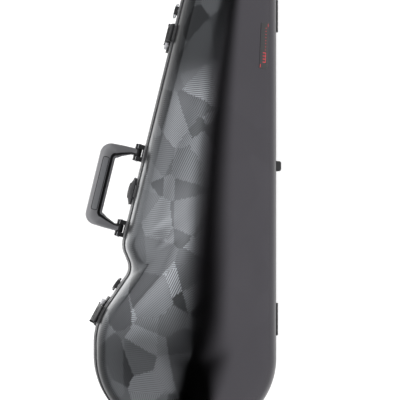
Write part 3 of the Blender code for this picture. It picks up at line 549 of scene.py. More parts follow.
def close_flat(bm, ring, below):
    """Strips across the flat of the back, from the hinge side to the handle side."""
    side = (len(ring) - 2 * END_POINTS) // 2
    right = ring[:side]
    left = ring[side + END_POINTS:2 * side + END_POINTS][::-1]
    faces = [(right[i], right[i + 1], left[i + 1], left[i]) for i in range(side - 1)]
    faces.append((right[-1], *ring[side:side + END_POINTS], left[-1]))
    faces.append((left[0], *ring[-END_POINTS:], right[0]))
    for corners in faces:
        bm.faces.new(tuple(reversed(corners)) if below else corners)


def make_base():
    outline = matched_outline()
    outer = [[base_point(p, n, level) for p, n in outline] for level in BASE_LEVELS]
    inner = [[base_point(p, n, level, SHELL_WALL) for p, n in outline] for level in BASE_LEVELS[::3] + [0]]
    bm, (out_rows, in_rows) = shell_pair(outer, inner)
    join_edges(bm, out_rows[-1], in_rows[-1])
    close_flat(bm, out_rows[0], True)
    close_flat(bm, in_rows[0], False)
    merge_close(bm)
    add_piece("bottom_skin", bm, "base", "shell", ("bottom_shell",), 60)


WALL = rounded_outline(CORNERS, 8.0)


def wall_frame(y, z=0.0, hinge_side=False):
    """A frame on the wall: local X along the wall, Y outwards, Z up."""
    point, normal = side_station(y, hinge_side, WALL)
    out = Vector((normal.x, normal.y, 0))
    up = Vector((0, 0, 1))
    turn = Matrix((out.cross(up), out, up)).transposed().to_4x4()
    return Matrix.Translation((point.x, point.y, z)) @ turn


def shift(x, y, z):
    """A move by millimetres."""
    return Matrix.Translation((x * MM, y * MM, z * MM))


def rounded_box(low, high, width, segments=3):
    """A box with rounded edges, in millimetres."""
    bm = bmesh.new()
    bmesh.ops.create_cube(bm, size=1.0)
    low, high = (Vector([v * MM for v in corner]) for corner in (low, high))
    for vertex in bm.verts:
        vertex.co = Vector(a * b for a, b in zip(vertex.co, high - low)) + (high + low) / 2
    bmesh.ops.bevel(bm, geom=list(bm.edges), offset=width * MM, segments=segments, profile=0.5, affect="EDGES")
    return bm


def arc(x, y, radius, start, end, steps):
    """Points along an arc with both its ends; angles are in degrees."""
    turns = [math.radians(start + (end - start) * k / steps) for k in range(steps + 1)]
    return [(x + radius * math.cos(t), y + radius * math.sin(t)) for t in turns]


def rounded_plate(length, width, corner, levels, segments=8):
    """A slab with a rounded plan, in millimetres; levels are (height, inset) pairs from the bottom up."""
    rings = []
    for z, inset in levels:
        a, b = length / 2 - inset, width / 2 - inset
        r = max(corner - inset, 0.1)
        corners = ((a - r, b - r, 0), (r - a, b - r, 90), (r - a, r - b, 180), (a - r, r - b, 270))
        plan = [p for x, y, start in corners for p in arc(x, y, r, start, start + 90, segments)]
        rings.append([Vector((x * MM, y * MM, z * MM)) for x, y in plan])
    return loft(rings)


def turned(profile, sides=64, squash=1):
    """A turned form about local Z; profile is (radius, height) in millimetres from the bottom up."""
    rings = []
    for radius, z in profile:
        radius = max(radius, 0.02) * MM
        turns = [2 * math.pi * k / sides for k in range(sides)]
        rings.append([Vector((radius * math.cos(t), radius * math.sin(t) * squash, z * MM)) for t in turns])
    return loft(rings)


OUTWARD = Matrix(((1, 0, 0), (0, 0, 1), (0, -1, 0))).to_4x4()     # turns local Z away from the wall


def placed(bm, home):
    bmesh.ops.transform(bm, matrix=home, verts=bm.verts)
    return bm


def joined(*parts):
    """Several meshes as one."""
    whole = bmesh.new()
    for part in parts:
        spare = bpy.data.meshes.new("spare")
        part.to_mesh(spare)
        part.free()
        whole.from_mesh(spare)
        bpy.data.meshes.remove(spare)
    return whole


def screw_head(home, radius, rise):
    """A domed screw head that stands on the plane of home."""
    shares = ((1, 0), (1, 0.3), (0.86, 0.7), (0.55, 0.95), (0, 1))
    dome = turned([(radius * out, rise * up) for out, up in shares], 24)
    return placed(dome, home @ OUTWARD)


def round_section(here, side, other, radius, sides):
    """Points round a place on a cord or wire."""
    turns = [2 * math.pi * k / sides for k in range(sides)]
    return [here + (side * math.cos(t) + other * math.sin(t)) * radius for t in turns]


# ---- rims ----------------------------------------------------------------------------------
def ring_band(profile):
    return loft([[Vector((*(p + n * out * MM), z * MM)) for out, z in profile] for p, n in BAND], close=True)


def make_rims():
    base = [(1.9, 68.0), (2.2, 68.4), (2.2, 72.6), (1.5, 73.1), (1.5, 74.7), (2.2, 75.2), (2.2, 79.2),
            (1.7, 79.8), (-0.6, 79.8), (-0.6, 77.6), (-4.6, 77.6), (-4.6, 74.3), (0.3, 74.3), (0.3, 68.0)]
    add_piece("bottom_rim_fine", ring_band(base), "base", "rim_grey", ("bottom_rim",), 30)
    lid = [(1.1, 80.3), (1.5, 80.7), (1.5, 84.2), (1.0, 84.6), (1.0, 85.4), (1.5, 85.8), (1.5, 89.4),
           (0.9, 90.0), (0.3, 90.0), (0.3, 84.3), (-4.6, 84.3), (-4.6, 80.3)]
    add_piece("lid_rim_fine", ring_band(lid), "lid", "rim_black", ("lid_rim",), 30)


# ---- handle --------------------------------------------------------------------------------
HANDLE_Y, PITCH, PIVOT_OUT, PIVOT_Z = -48.2 * MM, 111 * MM, 9 * MM, 60 * MM
GRIP_OUT, GRIP_IN, GRIP_T = 53 * MM, 30 * MM, 8.5 * MM


def handle_rails():
    """Outer edge, inner edge and thickness of one half, from its pivot to the middle of the grip."""
    outer_half, inner_half = PITCH / 2 + 5.2 * MM, PITCH / 2 - 5.2 * MM
    corner, foot = Vector((41 * MM, GRIP_IN)), Vector((inner_half, 9 * MM))
    rail = [((outer_half, out), (inner_half, out), 0.62 + 0.04 * out / foot.y)
            for out in (0, 3 * MM, 6 * MM, 9 * MM)]
    for k in range(1, 11):
        share = 0.6 * k / 10
        thick = 0.66 + 0.2 * (k / 10) ** 1.2
        out = foot.y + (25 * MM - foot.y) * k / 10
        rail.append(((outer_half - 0.4 * MM * share, out), tuple(foot.lerp(corner, share)), thick))
    turn, inner = Vector((outer_half - 17 * MM, GRIP_OUT - 16 * MM)), corner - Vector((3 * MM, 3 * MM))
    last = rail[-1]
    first = ((turn.x + 16 * MM, turn.y), (inner.x + 3 * MM, inner.y), 1.0)
    for k in range(1, 4):
        rail.append(tuple(Vector(a).lerp(Vector(b), k / 4) for a, b in zip(last[:2], first[:2]))
                    + (last[2] + (1 - last[2]) * k / 4,))
    for k in range(13):
        t = math.radians(90 * k / 12)
        way = Vector((math.cos(t), math.sin(t)))
        rail.append((tuple(turn + way * 16 * MM), tuple(inner + way * 3 * MM), 1.0))
    for k in range(1, 13):
        rail.append(((turn.x * (1 - k / 12), GRIP_OUT), (inner.x * (1 - k / 12), GRIP_IN), 1.0))
    return rail


def make_handle():
    home = wall_frame(HANDLE_Y) @ Matrix.Translation((0, PIVOT_OUT, PIVOT_Z))
    half = handle_rails()
    whole = half + [((-o[0], o[1]), (-i[0], i[1]), t) for o, i, t in reversed(half[:-1])]
    upper = [(0, 0.3), (0.03, 0.6), (0.1, 0.84), (0.19, 0.97), (0.28, 1), (0.64, 1), (0.68, 0.97), (0.73, 0.8),
             (0.8, 0.6), (0.86, 0.56), (0.95, 0.55), (0.985, 0.48), (1, 0.3)]
    section = upper + [(s, -z) for s, z in reversed(upper)]
    rings = []
    for out, inside, thick in whole:
        a, b = Vector((*out, 0)), Vector((*inside, 0))
        rings.append([a.lerp(b, s) + Vector((0, 0, GRIP_T * thick * z)) for s, z in section])
    bm = placed(loft(rings), home)
    bm.faces.ensure_lookup_table()
    bands = len(section)
    for index, face in enumerate(bm.faces):
        here = index % bands
        if index < bands * (len(rings) - 1) and (6 <= here <= 8 or bands - 10 <= here <= bands - 8):
            face.material_index = 1
    frame_piece = add_piece("handle_frame_fine", bm, "handle", "grey_plastic", ("handle_frame",), 50)
    frame_piece.data.materials.append(MATERIALS["black_plastic"])
    for k, side in enumerate((1, -1)):
        barrel = turned([(4.6, -5.3), (5.3, -4.7), (5.3, 4.7), (4.6, 5.3)], 40)
        turn = Matrix.Translation((side * PITCH / 2, 0.5 * MM, 0)) @ Matrix.Rotation(math.radians(90), 4, "Y")
        spot = home @ turn @ Matrix.Scale(1.07, 4)
        add_piece(f"handle_barrel_{k + 1}", placed(barrel, spot), "handle", "black_plastic", (), 30)
    middle = (GRIP_OUT + GRIP_IN) / 2
    for name, turn in (("upper", 0), ("lower", math.pi)):
        seat = rounded_plate(78, 9.6, 2.8, [(7.4, 0), (8.5, 0), (8.58, 0.1)])
        pad = rounded_plate(76.4, 8.0, 2.2, [(8.0, 0), (8.8, 0.1), (9.1, 0.5), (9.2, 1.4), (9.24, 3.2)])
        spot = home @ Matrix.Translation((0, middle + 1.4 * MM, 0)) @ Matrix.Rotation(turn, 4, "Y")
        add_piece(f"grip_seat_{name}", placed(seat, spot), "handle", "black_plastic", (), 30)
        node = f"grip_pad_{name}"
        add_piece(f"{node}_fine", placed(pad, spot), "handle", "grip_rubber", (node,), 30)
    frame = wall_frame(HANDLE_Y)
    for place, side in (("neck", 1), ("bout", -1)):
        refine(f"handle_bracket_{place}", 0.9 * MM)
        for k, lug in enumerate((-1, 1)):
            pivot = side * PITCH / 2 / MM
            x = pivot + lug * 8.85
            strip = rounded_box((x - 2.9, 10.9, 64), (x + 2.9, 11.6, 66.65), 0.1)
            cap = turned([(2.6, 0), (2.6, 0.4), (1.9, 0.9), (0, 1.0)], 28)
            turn = Matrix.Rotation(math.radians(90 * lug), 4, "Y")
            both = joined(strip, placed(cap, shift(pivot + lug * 11.9, 9, 60) @ turn))
            add_piece(f"bracket_metal_{place}_{k + 1}", placed(both, frame), "base", "steel", (), 30)


# ---- latches, lock, rings --------------------------------------------------------------------
# y, shift along the wall and place of the slide's button
HASPS = {"neck": (172 * MM, 5, -17.8), "bout": (-219.5 * MM, -5, 17.8)}
RING_Y = {"neck": 211 * MM, "bout": -182.6 * MM}


def make_latches():
    for place, (y, along, button) in HASPS.items():
        home = wall_frame(y) @ shift(along, 0, 0)
        refine(f"hasp_{place}", 0.9 * MM)
        refine(f"latch_base_{place}", 0.5 * MM, 2)
        refine(f"release_slide_{place}", 0.25 * MM, 2)
        panel = rounded_plate(19, 22, 2.5, [(0, 0), (0.5, 0), (0.75, 0.3)])
        ribs = [rounded_box((-8, 8.6, z - 0.5), (8, 9.5, z + 0.5), 0.3, 2) for z in (57, 60, 63, 66)]
        hole = turned([(2.2, -0.5), (2.2, 0.2), (1.5, 0.35), (0, 0.1)], 28)
        add_piece(f"hasp_panel_{place}", placed(panel, home @ shift(0, 8.35, 64) @ OUTWARD), f"{place}_hasp",
                  "black_plastic", (), 30)
        add_piece(f"hasp_ribs_{place}", placed(joined(*ribs), home), f"{place}_hasp", "black_plastic", (), 30)
        add_piece(f"slide_button_{place}", placed(hole, home @ shift(button, 5.6, 66)), f"{place}_release",
                  "satin_metal", (), 40)


def cut_disc(radius, top, low, high):
    """A disc on the wall with its upper part cut off level, in millimetres."""
    start = math.degrees(math.asin(top / radius))
    plan = arc(0, 0, radius, 180 - start, 360 + start, 60)
    return loft([[Vector((x * MM, z * MM, out * MM)) for x, z in plan] for out in (low, high)])


def make_lock():
    home = wall_frame(HANDLE_Y, 64 * MM) @ OUTWARD
    plate = turned([(19.2, 4.3), (20, 4.5), (20, 4.9), (19.2, 5.5), (17.6, 5.8), (0, 5.8)], 96)
    both = joined(plate, cut_disc(19.4, 3.7, 0.3, 2.5), cut_disc(19.4, 15.4, 2.45, 4.4))
    add_piece("lock_plate_fine", placed(both, home), "base", "black_plastic", ("lock_plate",), 25, LOCK_GREY)
    edge, rise, top = 16.6, 4.1, 10.2
    radius = (edge ** 2 + rise ** 2) / (2 * rise)
    dome = [(15.9, 6.1), (edge, 6.25)]
    for k in range(12):
        t = math.asin(edge / radius) * (1 - k / 11) * 0.985
        dome.append((radius * math.sin(t), top - radius + radius * math.cos(t)))
    knob = placed(turned(dome, 96), home)
    add_piece("lock_knob_fine", knob, "knob", "black_plastic", ("lock_knob",), 40, LOCK_GREY)
    lens = turned([(11.5, 8.9), (11.2, 9.5), (9, 10.0), (5, 10.5), (0, 10.7)], 64, 0.42)
    add_piece("knob_lens", placed(lens, home), "knob", "black_plastic", (), 40)


def ring_wire(place, home):
    """The strap ring: a round wire bent to a D."""
    half, corner = 9.3 * MM, 1.6 * MM
    route = arc(corner - half, -corner, corner, 90, 180, 8)
    route += arc(0, -11 * MM, half, 180, 360, 24)
    route += arc(half - corner, -corner, corner, 0, 90, 8)
    points = [Vector((x, 3.9 * MM, 60 * MM + z)) for x, z in route]
    side = Vector((0, 1, 0))
    rings = []
    for i, here in enumerate(points):
        ahead = (points[(i + 1) % len(points)] - points[i - 1]).normalized()
        rings.append(round_section(here, side, ahead.cross(side), 1.3 * MM, 14))
    node = f"strap_ring_{place}"
    add_piece(f"{node}_fine", placed(loft(rings, close=True), home), f"{place}_ring", SLOTS[node], (node,), 180)


def make_rings():
    for place, y in RING_Y.items():
        home = wall_frame(y)
        ring_wire(place, home)
        refine(f"strap_anchor_{place}", 0.4 * MM, 2)
        heads = [screw_head(home @ shift(0, 1.6, z), 1.3, 0.7) for z in (55.8, 64.2)]
        add_piece(f"anchor_screws_{place}", joined(*heads), "base", "steel", (), 40)


# ---- hinges, foot, badge ---------------------------------------------------------------------
HINGE_Y = {"neck": 204 * MM, "bout": -231 * MM}
FOOT_Y = -11 * MM
BADGE_Y = (122.6, 190.6)        # millimetres
BADGE_LEVELS = (43.6, 56.2)


def make_hinges():
    for place, y in HINGE_Y.items():
        home = wall_frame(y, hinge_side=True)
        for body, z, out in (("base", 73, 3.85), ("lid", 86, 3.15)):
            refine(f"hinge_{body}_leaf_{place}", 0.3 * MM, 2)
            heads = [screw_head(home @ shift(x, out, z), 1.9, 0.8) for x in (-16, 16)]
            add_piece(f"hinge_screws_{body}_{place}", joined(*heads), body, "steel", (), 40)


def make_foot():
    home = wall_frame(FOOT_Y, hinge_side=True)
    rings = []
    for z, inset in ((48, 1.6), (48.3, 0.7), (49.2, 0.1), (56, 0), (56.3, 0.7), (57.7, 0.7), (58, 0),
                     (64.8, 0.1), (65.7, 0.7), (66, 1.6)):
        corner = arc(4.2 - inset, 10.3 - inset, 3.2, 0, 90, 6)
        half = [(8 - inset, 0.3), *corner]
        plan = half + [(-x, out) for x, out in reversed(half)]
        rings.append([Vector((x * MM, out * MM, z * MM)) for x, out in plan])
    add_piece("spine_foot_fine", placed(loft(rings), home), "base", "foot_rubber", ("spine_foot",), 40)


def lid_skin_frame(y, level):
    """A point on the hinge side of the lid with the directions along, across and out of its surface."""
    point, normal = side_station(y, True)
    here = lid_point(point, normal, level)
    across = (lid_point(point, normal, level + 1) - here).normalized()
    along = Vector((0, 1, 0))
    out = along.cross(across)
    out = out if out.z > 0 else -out
    return here, across, out.normalized()


def lid_strip(y_low, y_high, level_low, level_high, low, high, rounding, rows=40, columns=10):
    """A strip on the lid's hinge-side shoulder; y and the heights over the surface are in millimetres."""
    top, bottom = [], []
    for i in range(rows + 1):
        y = (y_low + (y_high - y_low) * i / rows) * MM
        upper, lower = [], []
        for k in range(columns + 1):
            here, across, out = lid_skin_frame(y, level_low + (level_high - level_low) * k / columns)
            edge = min(i, rows - i, k, columns - k) == 0
            upper.append(here + out * (high - (rounding if edge else 0)) * MM)
            lower.append(here + out * low * MM)
        top.append(upper)
        bottom.append(lower)
    bm = bmesh.new()
    grids = [[[bm.verts.new(p) for p in row] for row in grid] for grid in (top, bottom)]
    for grid, flip in zip(grids, (False, True)):
        for a, b in zip(grid, grid[1:]):
            for k in range(columns):
                face = (a[k], a[k + 1], b[k + 1], b[k])
                bm.faces.new(tuple(reversed(face)) if flip else face)
    border = [(0, k) for k in range(columns)] + [(i, columns) for i in range(rows)]
    border += [(rows, k) for k in range(columns, 0, -1)] + [(i, 0) for i in range(rows, 0, -1)]
    join_edges(bm, *[[grid[i][k] for i, k in border] for grid in (grids[1], grids[0])])
    bmesh.ops.recalc_face_normals(bm, faces=bm.faces)
    return bm


def make_badge():
    y_low, y_high = BADGE_Y
    strip = lid_strip(y_low, y_high, *BADGE_LEVELS, 0.0, 1.0, 0.4)
    add_piece("badge_fine", strip, "lid", "badge", ("badge_plate",), 40)
    rules = [(1.2, 6, 54.9, 55.5, 4, 1), (62, 66.8, 44.3, 44.9, 4, 1)]
    for k in range(12):
        start = 9 + 4.6 * k
        rules.append((start, start + 0.9, 47.6, 52.2 if k < 4 else 49.0, 1, 3))
    rules.append((9, 23.7, 47.5, 48.1, 8, 1))
    strips = [lid_strip(y_low + start, y_low + end, low, high, 0.9, 1.1, 0.02, rows, columns)
              for start, end, low, high, rows, columns in rules]
    add_piece("badge_rules", joined(*strips), "lid", "badge", (), 40, BADGE_RED)


# ---- padded interior -------------------------------------------------------------------------
LINER_INSET = SHELL_WALL + 1.0 * MM
TILT = math.radians(7.0)
BED = Matrix.Translation((-3 * MM, -350 * MM, 0)) @ Matrix.Rotation(-TILT, 4, "Z")
BED_HALF = [(-8, 108, 82), (128, 108, 70), (176, 60, 26), (226, 60, 26), (250, 87.5, 24),
            (362, 87.5, 45), (362, 28, 12), (500, 28, 6), (510, 38, 6), (602, 38, 20)]


CLOTH = {"quality": 4, "mass": 0.2, "tension_stiffness": 12, "compression_stiffness": 12, "shear_stiffness": 6,
         "bending_stiffness": 0.6, "use_pressure": True, "uniform_pressure_force": 4.0}
CLOTH_FRAMES = 20


def inflate(piece, shrink, cap, voxel):
    """Swell a closed form like sewn fabric over foam, each point by no more than the cap."""
    bpy.context.view_layer.objects.active = piece
    add_modifier(piece, "REMESH", mode="VOXEL", voxel_size=voxel)
    add_modifier(piece, "SMOOTH", factor=0.5, iterations=3)
    add_modifier(piece, "DISPLACE", strength=-shrink, mid_level=0.0)
    bake(piece)
    start = [vertex.co.copy() for vertex in piece.data.vertices]
    cloth = add_modifier(piece, "CLOTH")
    for setting, value in CLOTH.items():
        setattr(cloth.settings, setting, value)
    cloth.settings.effector_weights.gravity = 0.0
    cloth.point_cache.frame_start = 1
    cloth.point_cache.frame_end = CLOTH_FRAMES
    for step in range(1, CLOTH_FRAMES + 1):
        bpy.context.scene.frame_set(step)
    bake(piece)
    for vertex, before in zip(piece.data.vertices, start):
        moved = vertex.co - before
        if moved.length > cap:
            vertex.co = before + moved * (cap / moved.length)
    bpy.context.scene.frame_set(1)
    add_modifier(piece, "SUBSURF", levels=1, render_levels=1)
    bake(piece)
    piece.data.shade_smooth()


def bake(piece):
    """Turn a piece's modifiers into its mesh."""
    made = bpy.data.meshes.new_from_object(piece.evaluated_get(bpy.context.evaluated_depsgraph_get()))
    piece.modifiers.clear()
    made.materials.clear()
    for material in piece.data.materials:
        made.materials.append(material)
    piece.data = made


def soft_copy(node, slot, shrink, cap, voxel):
    bm = bmesh.new()
    bm.from_mesh(NODES[node].data)
    bmesh.ops.remove_doubles(bm, verts=bm.verts, dist=1e-6)
    piece = add_piece(f"{node}_soft", bm, BODY_OF[node], slot, (node,), 180)
    inflate(piece, shrink, cap, voxel)
    return piece


def tube(path, radius, sides=8, close=True):
    """A round cord along a path of points."""
    rings = []
    count = len(path)
    for i, here in enumerate(path):
        back = path[i - 1] if close or i else here
        ahead = path[(i + 1) % count] if close or i + 1 < count else here
        way = (ahead - back).normalized()
        side = way.cross(Vector((0, 0, 1))).normalized()
        rings.append(round_section(here, side, side.cross(way), radius, sides))
    return loft(rings, close=close)


def spaced(edge, step):
    """Points at even steps along a closed edge, without any that nearly meet."""
    even = []
    for a, b in zip(edge, edge[1:] + edge[:1]):
        steps = max(1, round((b - a).length / step))
        even += [a.lerp(b, k / steps) for k in range(steps)]
    return [p for p, q in zip(even, even[-1:] + even[:-1]) if (p - q).length > 0.4 * MM]


def make_bed():
    soft_copy("suspension_foam", "lining", 1.2 * MM, 2.6 * MM, 5 * MM)
    right = [(s * MM, t * MM, r * MM) for t, s, r in BED_HALF]
    left = [(-x, y, r) for x, y, r in reversed(right)]
    edge = [BED @ Vector((p.x, p.y, 71.3 * MM)) for p, n in rounded_outline(right + left, 6.0)]
    gap = 3 * MM
    inner = [p for p in spaced(edge, 6 * MM) if not (BOX_LOW.x - gap < p.x < BOX_HIGH.x + gap
                                                     and BOX_LOW.y - gap < p.y < BOX_HIGH.y + gap)]
    breaks = [i for i in range(len(inner)) if (inner[i] - inner[i - 1]).length > 12 * MM]
    if breaks:
        inner = inner[breaks[0]:] + inner[:breaks[0]]
    cord = tube(inner, 1.5 * MM, close=not breaks)
    add_piece("bed_piping", cord, "base", "lining", (), 180, MATERIALS["piping"])
    soft_copy("neck_rest", "lining", 1.2 * MM, 2.6 * MM, 4 * MM)


BOX_LOW, BOX_HIGH = (Vector(v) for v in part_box("accessory_box"))


STRAP_Y, STRAP_Z = 434.5, 60    # middle of the strap's arch in the bed's frame, millimetres


def strap_band(outer, inner, half, start, end, steps):
    """A band bent over the neck between two angles in degrees; radii and half its width are in millimetres."""
    foot = 62.6
    across = (outer + inner) / 2
    section = ((inner, -1), (inner, 1), (across, 1.012), (outer, 0.985), (outer, 0), (outer, -0.985),
               (across, -1.012))
    rings = []
    for k in range(steps + 1):
        t = math.radians(start + (end - start) * k / steps)
        ring = [(r * math.cos(t), STRAP_Y + v * half, max(STRAP_Z + r * math.sin(t), foot)) for r, v in section]
        rings.append([BED @ Vector([place * MM for place in point]) for point in ring])
    return loft(rings)


def make_neck_strap():
    """Woven strap over the violin's neck, with a hook-and-loop end and stitching."""
    strap = strap_band(20.9, 19.5, 12.5, 7, 173, 40)
    add_piece("neck_strap_woven", strap, "base", "webbing", ("neck_strap",), 50)
    add_piece("neck_strap_end", strap_band(22.0, 20.8, 11.5, 18, 66, 16), "base", "webbing", (), 50)
    stitches = []
    for edge in (-1, 1):
        for k in range(26):
            t = math.radians(70 + 3.6 * k)
            home = shift(21.05 * math.cos(t), STRAP_Y + edge * 9.8, STRAP_Z + 21.05 * math.sin(t))
            bead = rounded_box((-0.25, -0.25, -0.5), (0.25, 0.25, 0.5), 0.1, 1)
            stitches.append(placed(bead, BED @ home @ Matrix.Rotation(-t, 4, "Y")))
    add_piece("neck_strap_stitches", joined(*stitches), "base", "webbing", (), 50, MATERIALS["thread"])


def make_accessory_box():
    refine("accessory_box", 0.9 * MM, 3)
    low, high = (Vector(v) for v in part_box("accessory_flap"))
    middle, size = (low + high) / 2, high - low
    levels = [(0, 0.8), (0.3, 0.2), (1.2, 0), (1.9, 0.3), (2.3, 1.1), (2.5, 2.4), (2.35, 3.0), (2.3, 3.3),
              (2.4, 3.7), (2.85, 5.2), (3.2, 8), (3.4, 12), (3.45, 18)]
    crown = rounded_plate(size.x / MM, size.y / MM, 5, levels)
    home = Matrix.Translation((middle.x, middle.y, low.z))
    flap = add_piece("accessory_flap_soft", placed(crown, home), "flap", "lining", ("accessory_flap",), 180)
    low, high = (Vector(v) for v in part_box("flap_ribbon"))
    rings = []
    for k in range(17):
        share = k / 16
        x = high.x + (low.x - 6 * MM - high.x) * share
        arch = math.sin(math.pi * min(share * 1.25, 1)) ** 2 - max(share - 0.75, 0) ** 2 * 16
        z = (72.75 + 1.6 * arch) * MM
        section = ((low.y, 0), (low.y, 0.9 * MM), (high.y, 0.9 * MM), (high.y, 0))
        rings.append([Vector((x, y, z + h)) for y, h in section])
    add_piece("flap_ribbon_woven", loft(rings), "flap", "webbing", ("flap_ribbon",), 50)


def liner_swell(level, along):
    """How far the lid's lining stands into the room: padded panels between two seams."""
    seams = (6, 44, 92)
    for low, high in zip(seams, seams[1:]):
        if low <= level <= high:
            share = (level - low) / (high - low)
            full = math.sin(math.pi * min(max(share, 0), 1)) ** 0.45 if 0 < share < 1 else 0.0
            if low == 44:
                full = min(1.0, (share / 0.14)) ** 0.5
            ripple = 0.25 * math.sin(along * 2 * math.pi / (34 * MM)) * (1 - full) if low == 6 else 0.0
            return (-0.6 + 1.9 * full + ripple) * MM
    return 0.0


def make_liner():
    outline = matched_outline()
    run, total = [], 0.0
    for (a, n), (b, m) in zip(outline, outline[1:] + outline[:1]):
        run.append(total)
        total += (b - a).length
    levels = [6, 7, 8.5, 10.5, 13, 17, *range(22, 39, 6), 38, 40.5, *range(42, 47), 47.5, 50, *range(54, 79, 6), 83,
              86.5, 89, 90]
    inner = [[lid_point(p, n, level, LINER_INSET + 4 * MM + liner_swell(level, r))
              for (p, n), r in zip(outline, run)] for level in levels]
    outer = [[lid_point(p, n, level, LINER_INSET) for p, n in outline]
             for level in (6, 20, 36, 52, 66, 78, 86, 90)]
    bm, (out_rows, in_rows) = shell_pair(outer, inner)
    join_edges(bm, in_rows[0], out_rows[0])
    merge_close(bm)
    liner = add_piece("lid_liner_soft", bm, "lid", "lining", ("lid_liner",), 180)
    edge = [lid_point(p, n, 6, LINER_INSET + 2 * MM) for p, n in rounded_outline(CORNERS, 4.0)]
    cord = tube(spaced(edge, 10 * MM), 2.1 * MM)
    add_piece("liner_piping", cord, "lid", "lining", (), 180, MATERIALS["piping"])


def make_pockets():
    for k, across in enumerate((-26 * MM, 22 * MM)):
        low, high = (Vector(v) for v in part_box(f"bow_pocket_{k + 1}"))
        middle = Vector((across, (low.z + high.z) / 2))
        outside, inside = [], []
        for i in range(19):
            share = i / 18
            y = (30 + 62 * share) * MM
            fade = 1 - 0.14 * (1 - share) ** 3
            wave = 1 + 0.012 * math.sin(share * 17)
            half_w, half_h = 17 * MM * fade * wave, 13 * MM * fade
            for rows, thin in ((outside, 0.0), (inside, 2.3 * MM)):
                ring = []
                for j in range(40):
                    t = 2 * math.pi * j / 40
                    c, d = math.cos(t), math.sin(t)
                    x = math.copysign(abs(c) ** 0.6, c) * (half_w - thin)
                    z = math.copysign(abs(d) ** 0.6, d) * (half_h - thin)
                    floor = 2.6 * MM if thin and i == 0 else 0
                    ring.append(BED @ Vector((middle.x + x, y + floor, middle.y + z)))
                rows.append(ring)
        bm, (out_rows, in_rows) = shell_pair(outside, inside)
        join_edges(bm, out_rows[-1], in_rows[-1])
        bm.faces.new(list(reversed(out_rows[0])))
        bm.faces.new(in_rows[0])
        bmesh.ops.recalc_face_normals(bm, faces=bm.faces)
        sleeve = add_piece(f"bow_pocket_{k + 1}_soft", bm, "lid", "lining", (f"bow_pocket_{k + 1}",), 60)
        mouth = [p.lerp(q, 0.5) for p, q in zip(outside[-1], inside[-1])]
        add_piece(f"pocket_{k + 1}_binding", cord_ring(mouth, 1.5 * MM), "lid", "webbing", (), 180)
        refine(f"bow_clip_{k + 1}", 1.0 * MM, 3)
        refine(f"bow_clip_base_{k + 1}", 0.7 * MM, 3)


def cord_ring(path, radius, sides=8):
    """A closed cord along any ring of points, its section set out from the ring's middle."""
    middle = sum(path, Vector()) / len(path)
    rings = []
    for i, here in enumerate(path):
        way = (path[(i + 1) % len(path)] - path[i - 1]).normalized()
        side = here - middle
        side = (side - way * side.dot(way)).normalized()
        rings.append(round_section(here, side, way.cross(side), radius, sides))
    return loft(rings, close=True)


make_lid()
make_base()
make_rims()
make_handle()
make_latches()
make_lock()
make_rings()
make_hinges()
make_foot()
make_badge()
make_bed()
make_neck_strap()
make_accessory_box()
make_liner()
make_pockets()


# ---- studio --------------------------------------------------------------------------------
VIEW_YAW = math.radians(8.0)
VIEW_DISTANCE = 2.5
VIEW_WIDTH = 0.570
VIEW_CENTRE = Vector((0.0240, -0.060, 0.085))


def make_camera():
    data = bpy.data.cameras.new("camera")
    data.sensor_width = 36
    data.lens = 36 * VIEW_DISTANCE / VIEW_WIDTH
    camera = new_object("camera", data)
    away = Vector((-math.sin(VIEW_YAW), 0, math.cos(VIEW_YAW)))
    camera.location = VIEW_CENTRE + away * VIEW_DISTANCE
    camera.rotation_euler = (0, -VIEW_YAW, 0)
    bpy.context.scene.camera = camera


def make_floor():
    bm = bmesh.new()
    bmesh.ops.create_grid(bm, x_segments=2, y_segments=2, size=6.0)
    mesh = bpy.data.meshes.new("floor")
    bm.to_mesh(mesh)
    bm.free()
    floor = new_object("floor", mesh)
    made = bpy.data.materials.new("floor_white")
    n = empty_nodes(made)
    seen = n.add("ShaderNodeLightPath").outputs["Is Camera Ray"]
    matt = n.add("ShaderNodeBsdfDiffuse", {"Color": (0.32, 0.32, 0.32, 1)}).outputs[0]
    place = n.add("ShaderNodeSeparateXYZ", {0: n.add("ShaderNodeTexCoord").outputs["Object"]})
    straight = n.muladd(place.outputs[0], 0.246, place.outputs[1])
    pool = n.bell(straight, -0.13, 0.14)
    base = n.smooth(place.outputs[0], -0.05, 0.1, 0.16, 0.42)
    side = n.muladd(n.smooth(place.outputs[0], -0.1, 0.25, 2.3, 0.0), pool, base)
    unseen = n.times(n.minus(1.0, seen), side)
    strength = n.plus(n.times(seen, 0.72), unseen)
    glow = n.add("ShaderNodeEmission", {"Color": (1, 1, 1, 1), "Strength": strength})
    both = n.add("ShaderNodeAddShader", {0: matt, 1: glow.outputs[0]}).outputs[0]
    n.add("ShaderNodeOutputMaterial", {0: both})
    mesh.materials.append(made)
    floor.location.z = -0.0005


LEFT_EDGE, RIGHT_EDGE = (-7, 7.5), (12.5, 26)    # degrees between which each bright side begins
HUMP_CENTRE, HUMP_WIDTH = 1.5, 4.5
HUMP = (1.7, 3.6)
DEGREE = math.radians(1)


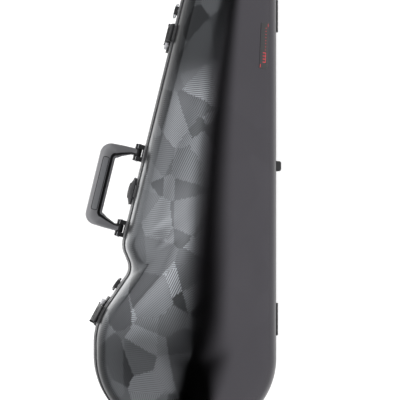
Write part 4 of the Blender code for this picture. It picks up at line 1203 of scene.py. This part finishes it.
def make_light():
    """A soft studio: a bright box at the handle side, a dim one at the hinge side, dark between."""
    world = bpy.data.worlds.new("studio")
    bpy.context.scene.world = world
    n = empty_nodes(world)

    def fade(angle, start, end, first, last):
        """A soft step between two angles in degrees."""
        return n.smooth(angle, math.radians(start), math.radians(end), first, last)

    x, y, z = n.add("ShaderNodeSeparateXYZ", {0: n.add("ShaderNodeTexCoord").outputs["Generated"]}).outputs
    tilt = n.math("ARCTAN2", x, z)
    length = n.math("SQRT", n.plus(n.times(x, x), n.times(z, z)))
    along = n.math("ARCTAN2", y, length)
    # the handle side: how bright it is, and where it begins
    hump = n.bell(along, HUMP_CENTRE * DEGREE, HUMP_WIDTH * DEGREE)
    hump = n.muladd(n.minus(0.6, hump), fade(tilt, -50, -22, 1.0, 0.0), hump)
    hump = n.math("MAXIMUM", hump, fade(n.math("ABSOLUTE", along), 5, 11, 0.0, 0.62))
    edge = fade(along, -3.2, 1.0, 1.4, 5.6)
    for start, end, first, last in ((4.6, 5.6, 0.0, 3.4), (6.0, 7.2, 0.0, -8.5), (-8.0, -5.0, -5.0, 0.0)):
        edge = n.plus(edge, fade(along, start, end, first, last))
    bent = n.minus(tilt, n.times(edge, DEGREE))
    horizon = fade(tilt, -100, -50, 0.75, 1.0)
    left = n.times(fade(bent, *LEFT_EDGE, 1.0, 0.0), horizon)
    box = n.times(left, n.muladd(hump, HUMP[1], HUMP[0]))
    # the hinge side
    waisted = n.times(n.bell(along, -2 * DEGREE, DEGREE), 2.5)
    edge = n.plus(fade(along, -9.0, -6.0, 6.0, 0.0), waisted)
    moved = n.minus(tilt, n.times(edge, DEGREE))
    right = n.times(fade(moved, *RIGHT_EDGE, 0.0, 1.0), 1.36)
    total = n.plus(n.plus(box, right), 0.002)
    lit = n.add("ShaderNodeBackground", {"Color": (1, 1, 1, 1), "Strength": total}).outputs[0]
    pale = n.add("ShaderNodeBackground", {"Color": (0.93, 0.94, 0.95, 1), "Strength": 1.0}).outputs[0]
    seen = n.add("ShaderNodeLightPath").outputs["Is Camera Ray"]
    mixed = n.add("ShaderNodeMixShader", {0: seen, 1: lit, 2: pale}).outputs[0]
    n.add("ShaderNodeOutputWorld", {0: mixed})


make_camera()
make_floor()
make_light()
bpy.context.scene.view_settings.view_transform = "Standard"

# ---- CAD nodes that keep their shape ---------------------------------------------------------
for name, node in NODES.items():
    for index in range(len(node.material_slots)):
        node.material_slots[index].material = MATERIALS[SLOTS[name]]
